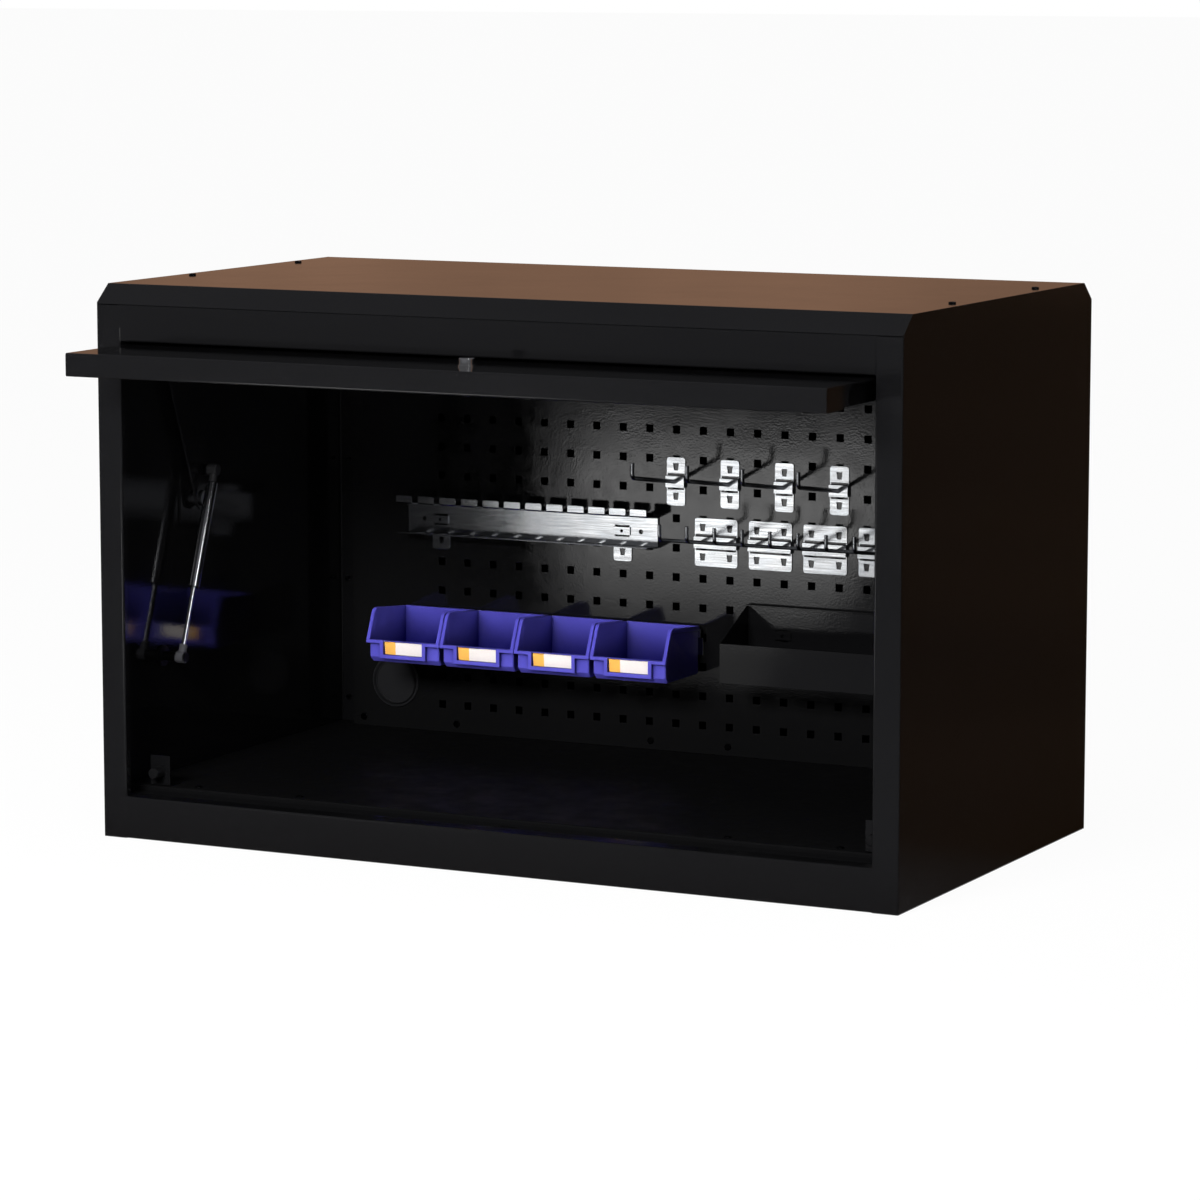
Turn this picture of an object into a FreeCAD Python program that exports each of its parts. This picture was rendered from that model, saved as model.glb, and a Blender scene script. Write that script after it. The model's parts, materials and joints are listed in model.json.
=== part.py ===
import FreeCAD, Part
import math
import os

# Steel hutch cabinet with a flip-up door, a perforated back and hung accessories, in millimetres.
# X runs along the width, Y from front to back and Z up. The origin is the middle of the front rail's foot.
# The door is modelled open, lying level under the top, and swings down on two arms to close.

# Carcass
WIDTH = 1062.0
DEPTH = 590.0
HEIGHT = 680.0
SHEET = 1.2
BEND = 2.4
HAIR = 1e-6
SLOPE_RUN = 27.5
SLOPE_RISE = 23.0
STILE_WIDTH = 33.5
STILE_RETURN = 10.0
REAR_FLANGE = 26.0
BASE_FLANGE = 30.0
RAIL_HEIGHT = 52.0
RAIL_HEM = 14.0
LEDGE_DEPTH = 76.0
FASCIA_HEIGHT = 45.0
FASCIA_FLANGE = 18.0
FASCIA_HEM = 10.0
FLOOR_SETBACK = 50.0
FLOOR_STEP = 6.0
FLOOR_SIDE_GAP = 1.0
SUPPORT_DROP = 28.0

# Perforated back
PEG_STANDOFF = 30.0
PEG_SIDE_GAP = 35.0
PEG_TOP_GAP = 34.0
PEG_PITCH = 38.0
PEG_HOLE = 10.0
PEG_COLUMNS = 20
PEG_LOWEST_ROW = 95.0
PEG_HEAD_MARGIN = 30.0
PEG_EDGE_ROUND = 0.9
GROMMET_INSET = 100.0
GROMMET_LIFT = 121.0
GROMMET_HOLE = 60.0
GROMMET_RIM = 4.5
GROMMET_RIM_DEPTH = 2.5
GROMMET_ROUND = 1.5
GROMMET_WALL = 2.0
GROMMET_DEPTH = 9.0

# Screws
SCREW_HEAD = 9.0
SCREW_HEAD_HEIGHT = 2.0
SCREW_SHANK = 4.8
SCREW_LENGTH = 8.0
SCREW_CLEARANCE = 0.2
SCREW_HEAD_ROUND = 1.2
RECESS_LENGTH = 5.0
RECESS_WIDTH = 1.2
RECESS_DEPTH = 1.0
TOP_SCREW_INSET = 20.0
TOP_SCREW_SETBACKS = (190.0, 450.0)
FLOOR_SCREW_INSETS = (65.5, 209.5)
FLOOR_SCREW_SETBACK = 12.0
BACK_SCREW_COUNT = 4
BACK_SCREW_LIFT = 90.0
BACK_SCREW_DROP = 87.0
PEG_SCREW_INSETS = (16.0, 156.0)
PEG_SCREW_SPREAD = 110.0
PEG_SCREW_LIFT = 12.0

# Door
DOOR_TOP_GAP = 4.0
DOOR_RECESS = 6.0
DOOR_REACH = 126.0
DOOR_FOOT_GAP = 2.0
DOOR_HEAD_GAP = 2.0
DOOR_SIDE_GAP = 3.5
DOOR_DEPTH = 28.0
DOOR_BEVEL = 30.0
DOOR_HEM = 14.0
RETURN_INSET = 12.0
CHEEK_TOP = 72.0
CHEEK_FOOT = 44.0
STIFFENER_PLACE = 300.0
STIFFENER_CROWN = 60.0
STIFFENER_FOOT = 18.0
STIFFENER_DEPTH = 20.0
STIFFENER_END_GAP = 14.0

# Swing arms and their wall pivots
ARM_SHEET = 3.0
ARM_BEND = 4.5
ARM_WALL_GAP = 10.8
ARM_BOSS = 15.0
ARM_LEAN = 54.0
ARM_HEAD_WIDTH = 46.0
ARM_HEAD_DROP = 26.0
ARM_TAB = 21.0
ARM_SCREW_SPREAD = 26.0
PIVOT_PLATE = 2.5
PIVOT_PLATE_SIZE = 70.0
PIVOT_PLATE_CORNER = 10.0
PIVOT_RADIUS = 6.0
PIVOT_SHOULDER = 10.0
PIVOT_CAP = 3.0
RUNNING_FIT = 0.05
SIDE_PLAY = 0.3

# Gas struts
STRUT_WALL_GAP = 28.0
STRUT_HEAD_AFT = 5.0
STRUT_HEAD_RISE = 36.0
STRUT_FOOT_FORE = 79.0
STRUT_FOOT_DROP = 191.0
STRUT_TUBE_RADIUS = 7.5
STRUT_TUBE_WALL = 1.0
STRUT_ROD_RADIUS = 3.0
STRUT_ROD_SHOWN = 74.0
STRUT_GUIDE = 8.0
STRUT_PISTON = 8.0
STRUT_PISTON_PLACE = 6.0
SOCKET_RADIUS = 7.5
SOCKET_HALF = 5.5
SOCKET_OUTER = 8.0
SOCKET_SHANK_RADIUS = 5.0
SOCKET_SHANK = 16.0
FOOT_PIN_RADIUS = 4.0
FOOT_NECK_RADIUS = 6.0
FOOT_DISC_RADIUS = 13.0
FOOT_DISC = 3.0
FOOT_HEAD = 2.0
STUD_FLANGE_RADIUS = 8.0
STUD_FLANGE = 2.0

# Cam lock
LOCK_OFFSET = 15.0
LOCK_SETBACK = 60.0
LOCK_FLANGE_RADIUS = 11.0
LOCK_FLANGE = 2.0
LOCK_HEAD_RADIUS = 9.6
LOCK_HEAD = 8.0
LOCK_BARREL_RADIUS = 9.0
LOCK_BARREL_FIT = 0.2
LOCK_PLUG_RADIUS = 6.5
LOCK_NUT_RADIUS = 13.0
LOCK_NUT = 5.0
LOCK_DRIVE = 8.0
KEYWAY_WIDTH = 1.6
KEYWAY_LENGTH = 8.0
KEYWAY_DEPTH = 5.0
CAM_THICKNESS = 2.6
CAM_DROP = 1.2
CAM_WIDTH = 16.0
CAM_LENGTH = 70.0
CAM_SLOT_PLAY = 3.0
CAM_SCREW_RADIUS = 5.5
CAM_SCREW = 3.0

# Door stops
STOP_SHEET = 1.5
STOP_WIDTH = 28.0
STOP_HEIGHT = 38.0
STOP_FOOT = 22.0
BUMPER_RADIUS = 7.0
BUMPER_LIFT = 18.0
BUMPER_HEIGHT = 6.0
BUMPER_ROUND = 2.0

# Hook plates that hang on the perforated back
PLATE = 1.5
PLATE_HEIGHT = 62.0
SINGLE_PLATE_SIDE = 13.0
DOUBLE_PLATE_SIDE = 11.0
PLATE_CORNER = 3.5
PUNCH_TOP = 8.0
PUNCH_FOOT = 5.6
PUNCH_HEIGHT = 9.0
TAB_WIDTH = 7.0
TAB_LEG = 7.0
TAB_GAP = 0.3
STRIP_HEIGHT = 15.0
STRIP_SLIT = 3.0
STRIP_RISE = 4.0
SINGLE_COLUMNS = (9, 11, 13, 15)
SINGLE_ROW = 9
DOUBLE_COLUMNS = (10, 12, 14, 16)
DOUBLE_ROW = 7
SINGLE_ROD_RADIUS = 2.75
DOUBLE_ROD_RADIUS = 2.4
ROD_REACH = 124.0
ROD_RISE = 8.0
ROD_BEND = 7.0
ROD_TIP = 12.0

# Tool rail
RAIL_COLUMNS = (0, 7)
RAIL_ROW = 7
TOOL_RAIL_LEFT = 48.0
TOOL_RAIL_LENGTH = 365.0
TOOL_RAIL_WEB = 41.0
TOOL_RAIL_LIFT = 8.5
TOOL_RAIL_FLANGE = 34.0
TOOL_RAIL_TILT = 6.0
TOOL_RAIL_TEETH = 12
TOOTH_HEIGHT = 9.0
TOOTH_ROUND = 2.0
TOOL_SLOT_WIDE = 9.0
TOOL_SLOT_NARROW = 6.0
TOOL_SLOT_ROOT = 6.0
TOOL_SLOT_FRONT = 7.0
LANCE_LENGTH = 21.0
LANCE_HEIGHT = 10.0
LANCE_SLIT = 2.5
LANCE_RISE = 2.0
LANCE_HOLE = 4.0
RAIL_HOLE = 6.0
RAIL_HOLE_PLACE = 24.0

# Bins on their rail
BIN_COUNT = 4
BIN_LEFT = 53.4
BIN_PITCH = 108.6
BIN_WIDTH = 102.2
BIN_WALL = 2.0
BIN_HEIGHT = 62.0
BIN_DEPTH = 95.4
BIN_LIP = 29.5
BIN_LIP_FLANGE = 4.0
BIN_SLOPE = 12.5
BIN_CREST = 7.5
BIN_CREST_ROUND = 4.0
BIN_TOE = 7.0
BIN_RIM = 2.4
BIN_RIM_DEPTH = 5.5
BIN_CORNER = 2.5
BIN_ROW = 3
BIN_ABOVE_ROW = 16.0
BIN_LEDGE = 3.0
BIN_HOOK = 2.5
BIN_HOOK_DROP = 11.0
BIN_SEAT_GAP = 0.3
LABEL_WIDTH = 57.0
LABEL_HEIGHT = 17.6
LABEL_THICKNESS = 0.8
LABEL_LIFT = 11.3
LABEL_GAP = 0.2
LABEL_FRAME = 5.0
LABEL_FRAME_DEPTH = 4.6
BIN_RAIL_COLUMNS = (0, 9)
BIN_RAIL_OFFSET = 8.0
BIN_RAIL_UPSTAND = 11.0
BIN_RAIL_PLATE = 24.0

# Parts tray
TRAY_LEFT = 50.0
TRAY_LENGTH = 328.0
TRAY_DEPTH = 84.0
TRAY_FOOT = 167.0
TRAY_FRONT = 50.0
TRAY_BACK = 90.0
TRAY_LIP = 8.0
TRAY_COLUMNS = (13, 19)
TRAY_ROW = 4
TRAY_CLIP_LIFT = 52.0

# Places worked out from the sizes above
FRONT = -BASE_FLANGE / 2
REAR = FRONT + DEPTH
WALL = WIDTH / 2 - SHEET
OPENING = WIDTH / 2 - STILE_WIDTH
SLOPE_FOOT = HEIGHT - SLOPE_RISE
FASCIA_FOOT = SLOPE_FOOT - FASCIA_HEIGHT
FLOOR_TOP = RAIL_HEIGHT + FLOOR_STEP
FLOOR_FRONT = FRONT + FLOOR_SETBACK
BACK_FACE = REAR - 2 * SHEET
PEG_FACE = REAR - PEG_STANDOFF
PEG_TOP = SLOPE_FOOT - PEG_TOP_GAP
PEG_HALF = WIDTH / 2 - PEG_SIDE_GAP
PEG_ROWS = 1 + int((PEG_TOP - PEG_HEAD_MARGIN - PEG_LOWEST_ROW) / PEG_PITCH)

DOOR_HALF = OPENING - DOOR_SIDE_GAP
DOOR_Z = FASCIA_FOOT - DOOR_TOP_GAP
DOOR_FOOT_Z = RAIL_HEIGHT + DOOR_FOOT_GAP
DOOR_LENGTH = FASCIA_FOOT - DOOR_HEAD_GAP - DOOR_FOOT_Z
DOOR_FRONT = FRONT - DOOR_REACH
DOOR_REAR = DOOR_FRONT + DOOR_LENGTH
DOOR_RETURN = DOOR_HALF - RETURN_INSET
PIVOT_Y = FRONT + (DOOR_Z + DOOR_RECESS - DOOR_FOOT_Z - DOOR_REACH) / 2
PIVOT_Z = (DOOR_Z + DOOR_RECESS + DOOR_FOOT_Z + DOOR_REACH) / 2
CLOSED_BACK = FRONT + DOOR_RECESS + DOOR_DEPTH

ARM_OUTER = WALL - ARM_WALL_GAP
ARM_INNER = ARM_OUTER - ARM_SHEET
STRUT_X = WALL - STRUT_WALL_GAP
STRUT_HEAD = (PIVOT_Y + STRUT_HEAD_AFT, PIVOT_Z + STRUT_HEAD_RISE)
STRUT_FOOT = (PIVOT_Y - STRUT_FOOT_FORE, PIVOT_Z - STRUT_FOOT_DROP)
STRUT_LENGTH = math.dist(STRUT_HEAD, STRUT_FOOT)

LOCK_Y = DOOR_FRONT + LOCK_SETBACK
LOCK_END = DOOR_Z - DOOR_DEPTH + SHEET
CAM_TOP = DOOR_Z - DOOR_DEPTH - CAM_DROP
CAM_FOOT = CAM_TOP - CAM_THICKNESS
PLATE_FACE = PEG_FACE - PLATE
BIN_TOP = PEG_LOWEST_ROW + BIN_ROW * PEG_PITCH + BIN_ABOVE_ROW
UPSTAND_TOP = BIN_TOP - BIN_LEDGE - BIN_SEAT_GAP
UPSTAND_BACK = PEG_FACE - BIN_RAIL_OFFSET
BIN_BACK = UPSTAND_BACK - PLATE - BIN_SEAT_GAP
BIN_FRONT = BIN_BACK - BIN_DEPTH
BIN_FOOT = BIN_TOP - BIN_HEIGHT


def column_x(column):
    """X of a column of holes, counted from the left."""
    return (column - (PEG_COLUMNS - 1) / 2) * PEG_PITCH


def row_z(row):
    """Z of a row of holes, counted from the bottom."""
    return PEG_LOWEST_ROW + row * PEG_PITCH


def box(x0, x1, y0, y1, z0, z1):
    """A block between two corners."""
    corner = FreeCAD.Vector(min(x0, x1), min(y0, y1), min(z0, z1))
    return Part.makeBox(abs(x1 - x0), abs(y1 - y0), abs(z1 - z0), corner)


def rod(start, end, radius):
    """A round bar between two points."""
    base = FreeCAD.Vector(*start)
    run = FreeCAD.Vector(*end) - base
    return Part.makeCylinder(radius, run.Length, base, run)


def place(axis, along, u, v):
    """The point at u, v on the plane across an axis."""
    if axis == "X":
        return FreeCAD.Vector(along, u, v)
    if axis == "Y":
        return FreeCAD.Vector(u, along, v)
    return FreeCAD.Vector(u, v, along)


def extruded(wires, axis, start, end):
    """A flat outline, with any holes after it, drawn out along an axis."""
    face = Part.makeFace(wires, "Part::FaceMakerBullseye")
    return face.extrude(place(axis, end - start, 0, 0))


def outline(points, axis, along):
    """A closed outline of straight runs."""
    corners = [place(axis, along, u, v) for u, v in points]
    return Part.makePolygon(corners + corners[:1])


def rectangle(u0, u1, v0, v1):
    """Corners of a rectangle, in order."""
    return [(u0, v0), (u1, v0), (u1, v1), (u0, v1)]


def prism(points, axis, start, end):
    """A straight-sided outline drawn out along an axis."""
    return extruded([outline(points, axis, start)], axis, start, end)


def fused(pieces):
    """One solid from pieces that meet."""
    return pieces[0].multiFuse(pieces[1:]).removeSplitter()


def mirrored(shape):
    """The same piece on the other side of the cabinet."""
    return shape.mirror(FreeCAD.Vector(0, 0, 0), FreeCAD.Vector(1, 0, 0))


def pair(shape):
    """A piece of the left side with its mirror image."""
    return [shape, mirrored(shape)]


def rounded(solid, radius, wanted):
    """A solid with its chosen edges rounded."""
    return solid.makeFillet(radius, [edge for edge in solid.Edges if wanted(edge)])


def runs_along(edge, axis):
    """Whether an edge is a straight one along an axis."""
    size = edge.BoundBox
    lengths = {"X": size.XLength, "Y": size.YLength, "Z": size.ZLength}
    others = [length for name, length in lengths.items() if name != axis]
    return lengths[axis] > HAIR and max(others) < HAIR


def unit(start, end):
    """The heading from one point to another."""
    length = math.dist(start, end)
    return ((end[0] - start[0]) / length, (end[1] - start[1]) / length)


def bent_side(points, offset, radii):
    """Runs and arcs along one side of a folded sheet, from its first point to its last."""
    headings = [unit(a, b) for a, b in zip(points, points[1:])]
    stations = []
    for index, point in enumerate(points):
        before = headings[max(index - 1, 0)]
        after = headings[min(index, len(headings) - 1)]
        cross = before[0] * after[1] - before[1] * after[0]
        dot = before[0] * after[0] + before[1] * after[1]
        reach = offset / (1 + dot)
        corner = (point[0] + reach * (before[1] + after[1]), point[1] - reach * (before[0] + after[0]))
        turn = math.atan2(cross, dot)
        stations.append((corner, before, after, turn, radii(turn)))
    runs = []
    last = stations[0][0]
    for corner, before, after, turn, radius in stations[1:-1]:
        back_off = radius * math.tan(abs(turn) / 2)
        enter = (corner[0] - before[0] * back_off, corner[1] - before[1] * back_off)
        leave = (corner[0] + after[0] * back_off, corner[1] + after[1] * back_off)
        side = math.copysign(1, turn)
        centre = (enter[0] - side * radius * before[1], enter[1] + side * radius * before[0])
        toward = unit(centre, corner)
        middle = (centre[0] + radius * toward[0], centre[1] + radius * toward[1])
        runs.append((last, enter))
        runs.append((enter, middle, leave))
        last = leave
    runs.append((last, stations[-1][0]))
    return runs


def folded(points, axis, start, end, sheet=SHEET, bend=BEND):
    """A folded sheet: points follow one face, the sheet lies to the right of the way they run."""
    outer = bent_side(points, 0, lambda turn: bend if turn < 0 else bend - sheet)
    inner = bent_side(points, sheet, lambda turn: bend - sheet if turn < 0 else bend)
    inner = [run[::-1] for run in reversed(inner)]
    runs = outer + [(outer[-1][-1], inner[0][0])] + inner + [(inner[-1][-1], outer[0][0])]
    edges = []
    for run in runs:
        spots = [place(axis, start, u, v) for u, v in run]
        curve = Part.Arc(*spots) if len(spots) == 3 else Part.LineSegment(*spots)
        edges.append(curve.toShape())
    return extruded([Part.Wire(edges)], axis, start, end)


def screw(point, direction, length=SCREW_LENGTH):
    """A pan-head screw with a cross recess, its head seated at a point and its shank along a direction."""
    head = Part.makeCylinder(SCREW_HEAD / 2, SCREW_HEAD_HEIGHT, FreeCAD.Vector(0, 0, 0))
    head = rounded(head, SCREW_HEAD_ROUND, lambda edge: edge.BoundBox.ZMin > SCREW_HEAD_HEIGHT / 2)
    half_arm = RECESS_LENGTH / 2
    floor = SCREW_HEAD_HEIGHT - RECESS_DEPTH
    half_slot = RECESS_WIDTH / 2
    head = head.cut(box(-half_arm, half_arm, -half_slot, half_slot, floor, SCREW_HEAD_HEIGHT))
    head = head.cut(box(-half_slot, half_slot, -half_arm, half_arm, floor, SCREW_HEAD_HEIGHT))
    whole = fused([head, Part.makeCylinder(SCREW_SHANK / 2, length, FreeCAD.Vector(0, 0, -length))])
    turn = FreeCAD.Rotation(FreeCAD.Vector(0, 0, -1), FreeCAD.Vector(*direction))
    whole.Placement = FreeCAD.Placement(FreeCAD.Vector(*point), turn)
    return whole


def screw_hole(point, direction, depth=2 * SCREW_LENGTH):
    """The clearance hole that a screw's shank passes through, starting just outside its head."""
    start = FreeCAD.Vector(*point) - FreeCAD.Vector(*direction)
    end = start + FreeCAD.Vector(*direction) * depth
    return rod(start, end, SCREW_SHANK / 2 + SCREW_CLEARANCE)


def bored(solid, places, direction, depth=2 * SCREW_LENGTH):
    """A sheet with a clearance hole at each screw."""
    for point in places:
        solid = solid.cut(screw_hole(point, direction, depth))
    return solid


DOWN = (0, 0, -1)
FORWARD = (0, -1, 0)
BACKWARD = (0, 1, 0)
INWARD = (1, 0, 0)


def top_screw_places():
    across = WIDTH / 2 - TOP_SCREW_INSET
    ys = [FRONT + setback for setback in TOP_SCREW_SETBACKS]
    return [(side * across, y, HEIGHT) for side in (-1, 1) for y in ys]


def floor_screw_places():
    xs = sorted(side * (OPENING - inset) for inset in FLOOR_SCREW_INSETS for side in (-1, 1))
    return [(x, FLOOR_FRONT + FLOOR_SCREW_SETBACK, FLOOR_TOP) for x in xs]


def back_screw_places():
    across = WIDTH / 2 - REAR_FLANGE / 2
    step = (SLOPE_FOOT - BACK_SCREW_DROP - BACK_SCREW_LIFT) / (BACK_SCREW_COUNT - 1)
    zs = [BACK_SCREW_LIFT + index * step for index in range(BACK_SCREW_COUNT)]
    return [(side * across, REAR, z) for side in (-1, 1) for z in zs]


def peg_screw_places():
    halves = [PEG_HALF - inset for inset in PEG_SCREW_INSETS] + [PEG_SCREW_SPREAD / 2]
    xs = sorted(side * half for half in halves for side in (-1, 1))
    return [(x, PEG_FACE, FLOOR_TOP + PEG_SCREW_LIFT) for x in xs]


def arm_screw_places():
    """Screws of the left arm's tab."""
    z = DOOR_Z - SHEET - ARM_TAB / 2
    x = -DOOR_RETURN - ARM_SHEET
    middle = PIVOT_Y - ARM_LEAN
    return [(x, middle + side * ARM_SCREW_SPREAD / 2, z) for side in (-1, 1)]


def side_outline():
    """The cabinet's side outline, with its sloped top corners."""
    return [
        (FRONT, 0),
        (REAR, 0),
        (REAR, SLOPE_FOOT),
        (REAR - SLOPE_RUN, HEIGHT),
        (FRONT + SLOPE_RUN, HEIGHT),
        (FRONT, SLOPE_FOOT),
    ]


def top_section():
    """The top sheet's outer line, run on past its two lower edges."""
    over = 2 * SHEET
    slope = SLOPE_RUN / SLOPE_RISE
    return [
        (FRONT - over * slope, SLOPE_FOOT - over),
        (FRONT + SLOPE_RUN, HEIGHT),
        (REAR - SLOPE_RUN, HEIGHT),
        (REAR + over * slope, SLOPE_FOOT - over),
    ]


def top_panel():
    sheet = folded(top_section(), "X", -WALL, WALL)
    sheet = sheet.common(box(-WALL, WALL, FRONT, REAR, SLOPE_FOOT, HEIGHT))
    return [bored(sheet, top_screw_places(), DOWN)]


def side_panel_left():
    """Side skin with its stile, return lip, rear flange and inner flanges at the base and top."""
    outside = -WIDTH / 2
    section = [
        (outside + STILE_WIDTH, FRONT + STILE_RETURN),
        (outside + STILE_WIDTH, FRONT),
        (outside, FRONT),
        (outside, REAR),
        (outside + REAR_FLANGE, REAR),
    ]
    skin = folded(section, "Z", 0, HEIGHT)
    skin = skin.common(prism(side_outline(), "X", outside, outside + STILE_WIDTH))
    base = box(-WALL - SHEET / 2, outside + BASE_FLANGE, FRONT + BEND, REAR - BEND, 0, SHEET)
    seat = HEIGHT - SHEET
    head = box(-WALL - SHEET / 2, -OPENING, FRONT + SLOPE_RUN, REAR - SLOPE_RUN, seat - SHEET, seat)
    whole = fused([skin, base, head])
    whole = whole.cut(folded(top_section(), "X", -WALL, WALL))
    whole = whole.cut(box(-WALL, -OPENING, FRONT, REAR, seat, HEIGHT))
    whole = bored(whole, [p for p in top_screw_places() if p[0] < 0], DOWN)
    return bored(whole, [p for p in back_screw_places() if p[0] < 0], FORWARD)


def front_fascia():
    section = [
        (FRONT + FASCIA_FLANGE, FASCIA_FOOT + FASCIA_HEM),
        (FRONT + FASCIA_FLANGE, FASCIA_FOOT),
        (FRONT, FASCIA_FOOT),
        (FRONT, SLOPE_FOOT),
        (FRONT + FASCIA_FLANGE, SLOPE_FOOT),
    ]
    return [folded(section, "X", -OPENING, OPENING)]


def bottom_rail():
    """Front rail whose ledge carries the floor's front edge and has the slot that the lock's cam enters."""
    section = [
        (FRONT + BASE_FLANGE, 0),
        (FRONT, 0),
        (FRONT, RAIL_HEIGHT),
        (FRONT + LEDGE_DEPTH, RAIL_HEIGHT),
        (FRONT + LEDGE_DEPTH, RAIL_HEIGHT - RAIL_HEM),
    ]
    rail = folded(section, "X", -OPENING, OPENING)
    slot_back = PIVOT_Y + PIVOT_Z - CAM_FOOT + CAM_SLOT_PLAY
    slot_front = PIVOT_Y + PIVOT_Z - CAM_TOP - CAM_SLOT_PLAY
    half_slot = CAM_WIDTH / 2 + CAM_SLOT_PLAY
    slot_left = LOCK_OFFSET - half_slot
    slot_right = LOCK_OFFSET + half_slot
    rail = rail.cut(box(slot_left, slot_right, slot_front, slot_back, RAIL_HEIGHT - 2 * SHEET, RAIL_HEIGHT))
    return [bored(rail, floor_screw_places(), DOWN)]


def rear_base_rail():
    section = [
        (BACK_FACE - BASE_FLANGE, RAIL_HEIGHT),
        (BACK_FACE, RAIL_HEIGHT),
        (BACK_FACE, 0),
        (BACK_FACE - BASE_FLANGE, 0),
    ]
    return [folded(section, "X", -OPENING, OPENING)]


def floor_supports():
    """Angles on the side walls, between the stiles and the back panel."""
    section = [
        (-WALL, RAIL_HEIGHT - SUPPORT_DROP),
        (-WALL, RAIL_HEIGHT),
        (-OPENING, RAIL_HEIGHT),
    ]
    return pair(folded(section, "Y", FRONT + STILE_RETURN, BACK_FACE))


def pan(x_half, y0, y1, z0, z1):
    """A shallow pan with its open side down and its outer edges rounded."""
    block = box(-x_half, x_half, y0, y1, z0, z1)
    block = rounded(block, BEND, lambda edge: edge.BoundBox.ZMax > (z0 + z1) / 2)
    hollow = box(-x_half + SHEET, x_half - SHEET, y0 + SHEET, y1 - SHEET, z0, z1 - SHEET)
    return block.cut(hollow)


def floor_panel():
    floor = pan(WALL - FLOOR_SIDE_GAP, FLOOR_FRONT, BACK_FACE, RAIL_HEIGHT, FLOOR_TOP)
    return [bored(floor, floor_screw_places() + stop_screw_places(), DOWN)]


def grommet_axis(y):
    return (-WIDTH / 2 + GROMMET_INSET, y, GROMMET_LIFT)


def back_panel():
    half = WALL - BEND
    sheet = box(-half, half, BACK_FACE, BACK_FACE + SHEET, 0, SLOPE_FOOT)
    sheet = sheet.cut(rod(grommet_axis(BACK_FACE), grommet_axis(REAR), GROMMET_HOLE / 2))
    return [bored(sheet, back_screw_places(), FORWARD)]


def pegboard():
    """Perforated pan with its returns folded back to the back panel."""
    half = PEG_HALF
    half_hole = PEG_HOLE / 2
    wires = [outline(rectangle(-half, half, FLOOR_TOP, PEG_TOP), "Y", PEG_FACE)]
    for column in range(PEG_COLUMNS):
        for row in range(PEG_ROWS):
            x = column_x(column)
            z = row_z(row)
            hole = rectangle(x - half_hole, x + half_hole, z - half_hole, z + half_hole)
            wires.append(outline(hole, "Y", PEG_FACE))
    sheet = extruded(wires, "Y", PEG_FACE, PEG_FACE + SHEET)
    returns = [
        box(-half, -half + SHEET, PEG_FACE, BACK_FACE, FLOOR_TOP, PEG_TOP),
        box(half - SHEET, half, PEG_FACE, BACK_FACE, FLOOR_TOP, PEG_TOP),
        box(-half, half, PEG_FACE, BACK_FACE, FLOOR_TOP, FLOOR_TOP + SHEET),
        box(-half, half, PEG_FACE, BACK_FACE, PEG_TOP - SHEET, PEG_TOP),
    ]
    whole = fused([sheet] + returns)

    def is_front_edge(edge):
        size = edge.BoundBox
        return size.YMax < PEG_FACE + SHEET / 2 and max(size.XLength, size.ZLength) > 2 * PEG_HOLE

    whole = rounded(whole, PEG_EDGE_ROUND, is_front_edge)
    whole = whole.cut(rod(grommet_axis(PEG_FACE), grommet_axis(PEG_FACE + SHEET), GROMMET_HOLE / 2))
    return [bored(whole, peg_screw_places(), BACKWARD)]


def cable_grommet():
    """Blanking grommet: a raised rim in front of the sheet, a sleeve through it and a closed disc."""
    rim_front = PEG_FACE - GROMMET_RIM_DEPTH
    sleeve = GROMMET_HOLE / 2 - SCREW_CLEARANCE
    rim = rod(grommet_axis(rim_front), grommet_axis(PEG_FACE), GROMMET_HOLE / 2 + GROMMET_RIM)
    rim = rounded(rim, GROMMET_ROUND, lambda edge: edge.BoundBox.YMax < rim_front + GROMMET_RIM_DEPTH / 2)
    rear = grommet_axis(PEG_FACE + GROMMET_DEPTH)
    whole = fused([rim, rod(grommet_axis(PEG_FACE), rear, sleeve)])
    inside = sleeve - GROMMET_WALL
    dish = rod(grommet_axis(rim_front), grommet_axis(PEG_FACE - GROMMET_WALL / 2), inside)
    bore = rod(grommet_axis(PEG_FACE + GROMMET_WALL), rear, inside)
    return [whole.cut(dish).cut(bore)]


def carcass_screws():
    heads = [screw(p, DOWN) for p in top_screw_places()]
    heads += [screw(p, DOWN, FLOOR_STEP + SCREW_LENGTH) for p in floor_screw_places()]
    heads += [screw(p, DOWN, FLOOR_STEP - SHEET) for p in stop_screw_seats()]
    return heads + [screw(p, FORWARD) for p in back_screw_places()]


def pegboard_screws():
    return [screw(p, BACKWARD) for p in peg_screw_places()]


def stop_x():
    """Middle of the left door stop, in line with the door's side return."""
    return -DOOR_RETURN + SHEET / 2


def stop_face():
    return CLOSED_BACK + SIDE_PLAY + BUMPER_HEIGHT


def stop_bracket_front():
    """The bracket stands on the floor's front edge or behind it."""
    return max(stop_face(), FLOOR_FRONT + BEND)


def stop_screw_places():
    y = stop_bracket_front() + STOP_SHEET + STOP_FOOT / 2
    return [(side * stop_x(), y, FLOOR_TOP) for side in (1, -1)]


def stop_screw_seats():
    return [(x, y, z + STOP_SHEET) for x, y, z in stop_screw_places()]


def door_stop_brackets():
    middle = stop_x()
    front = stop_bracket_front()
    left = middle - STOP_WIDTH / 2
    right = middle + STOP_WIDTH / 2
    section = [
        (front + STOP_SHEET + STOP_FOOT, FLOOR_TOP),
        (front, FLOOR_TOP),
        (front, FLOOR_TOP + STOP_HEIGHT),
    ]
    bracket = folded(section, "X", left, right, STOP_SHEET)
    bracket = bored(bracket, stop_screw_seats()[:1], DOWN)
    return pair(bracket)


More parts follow.
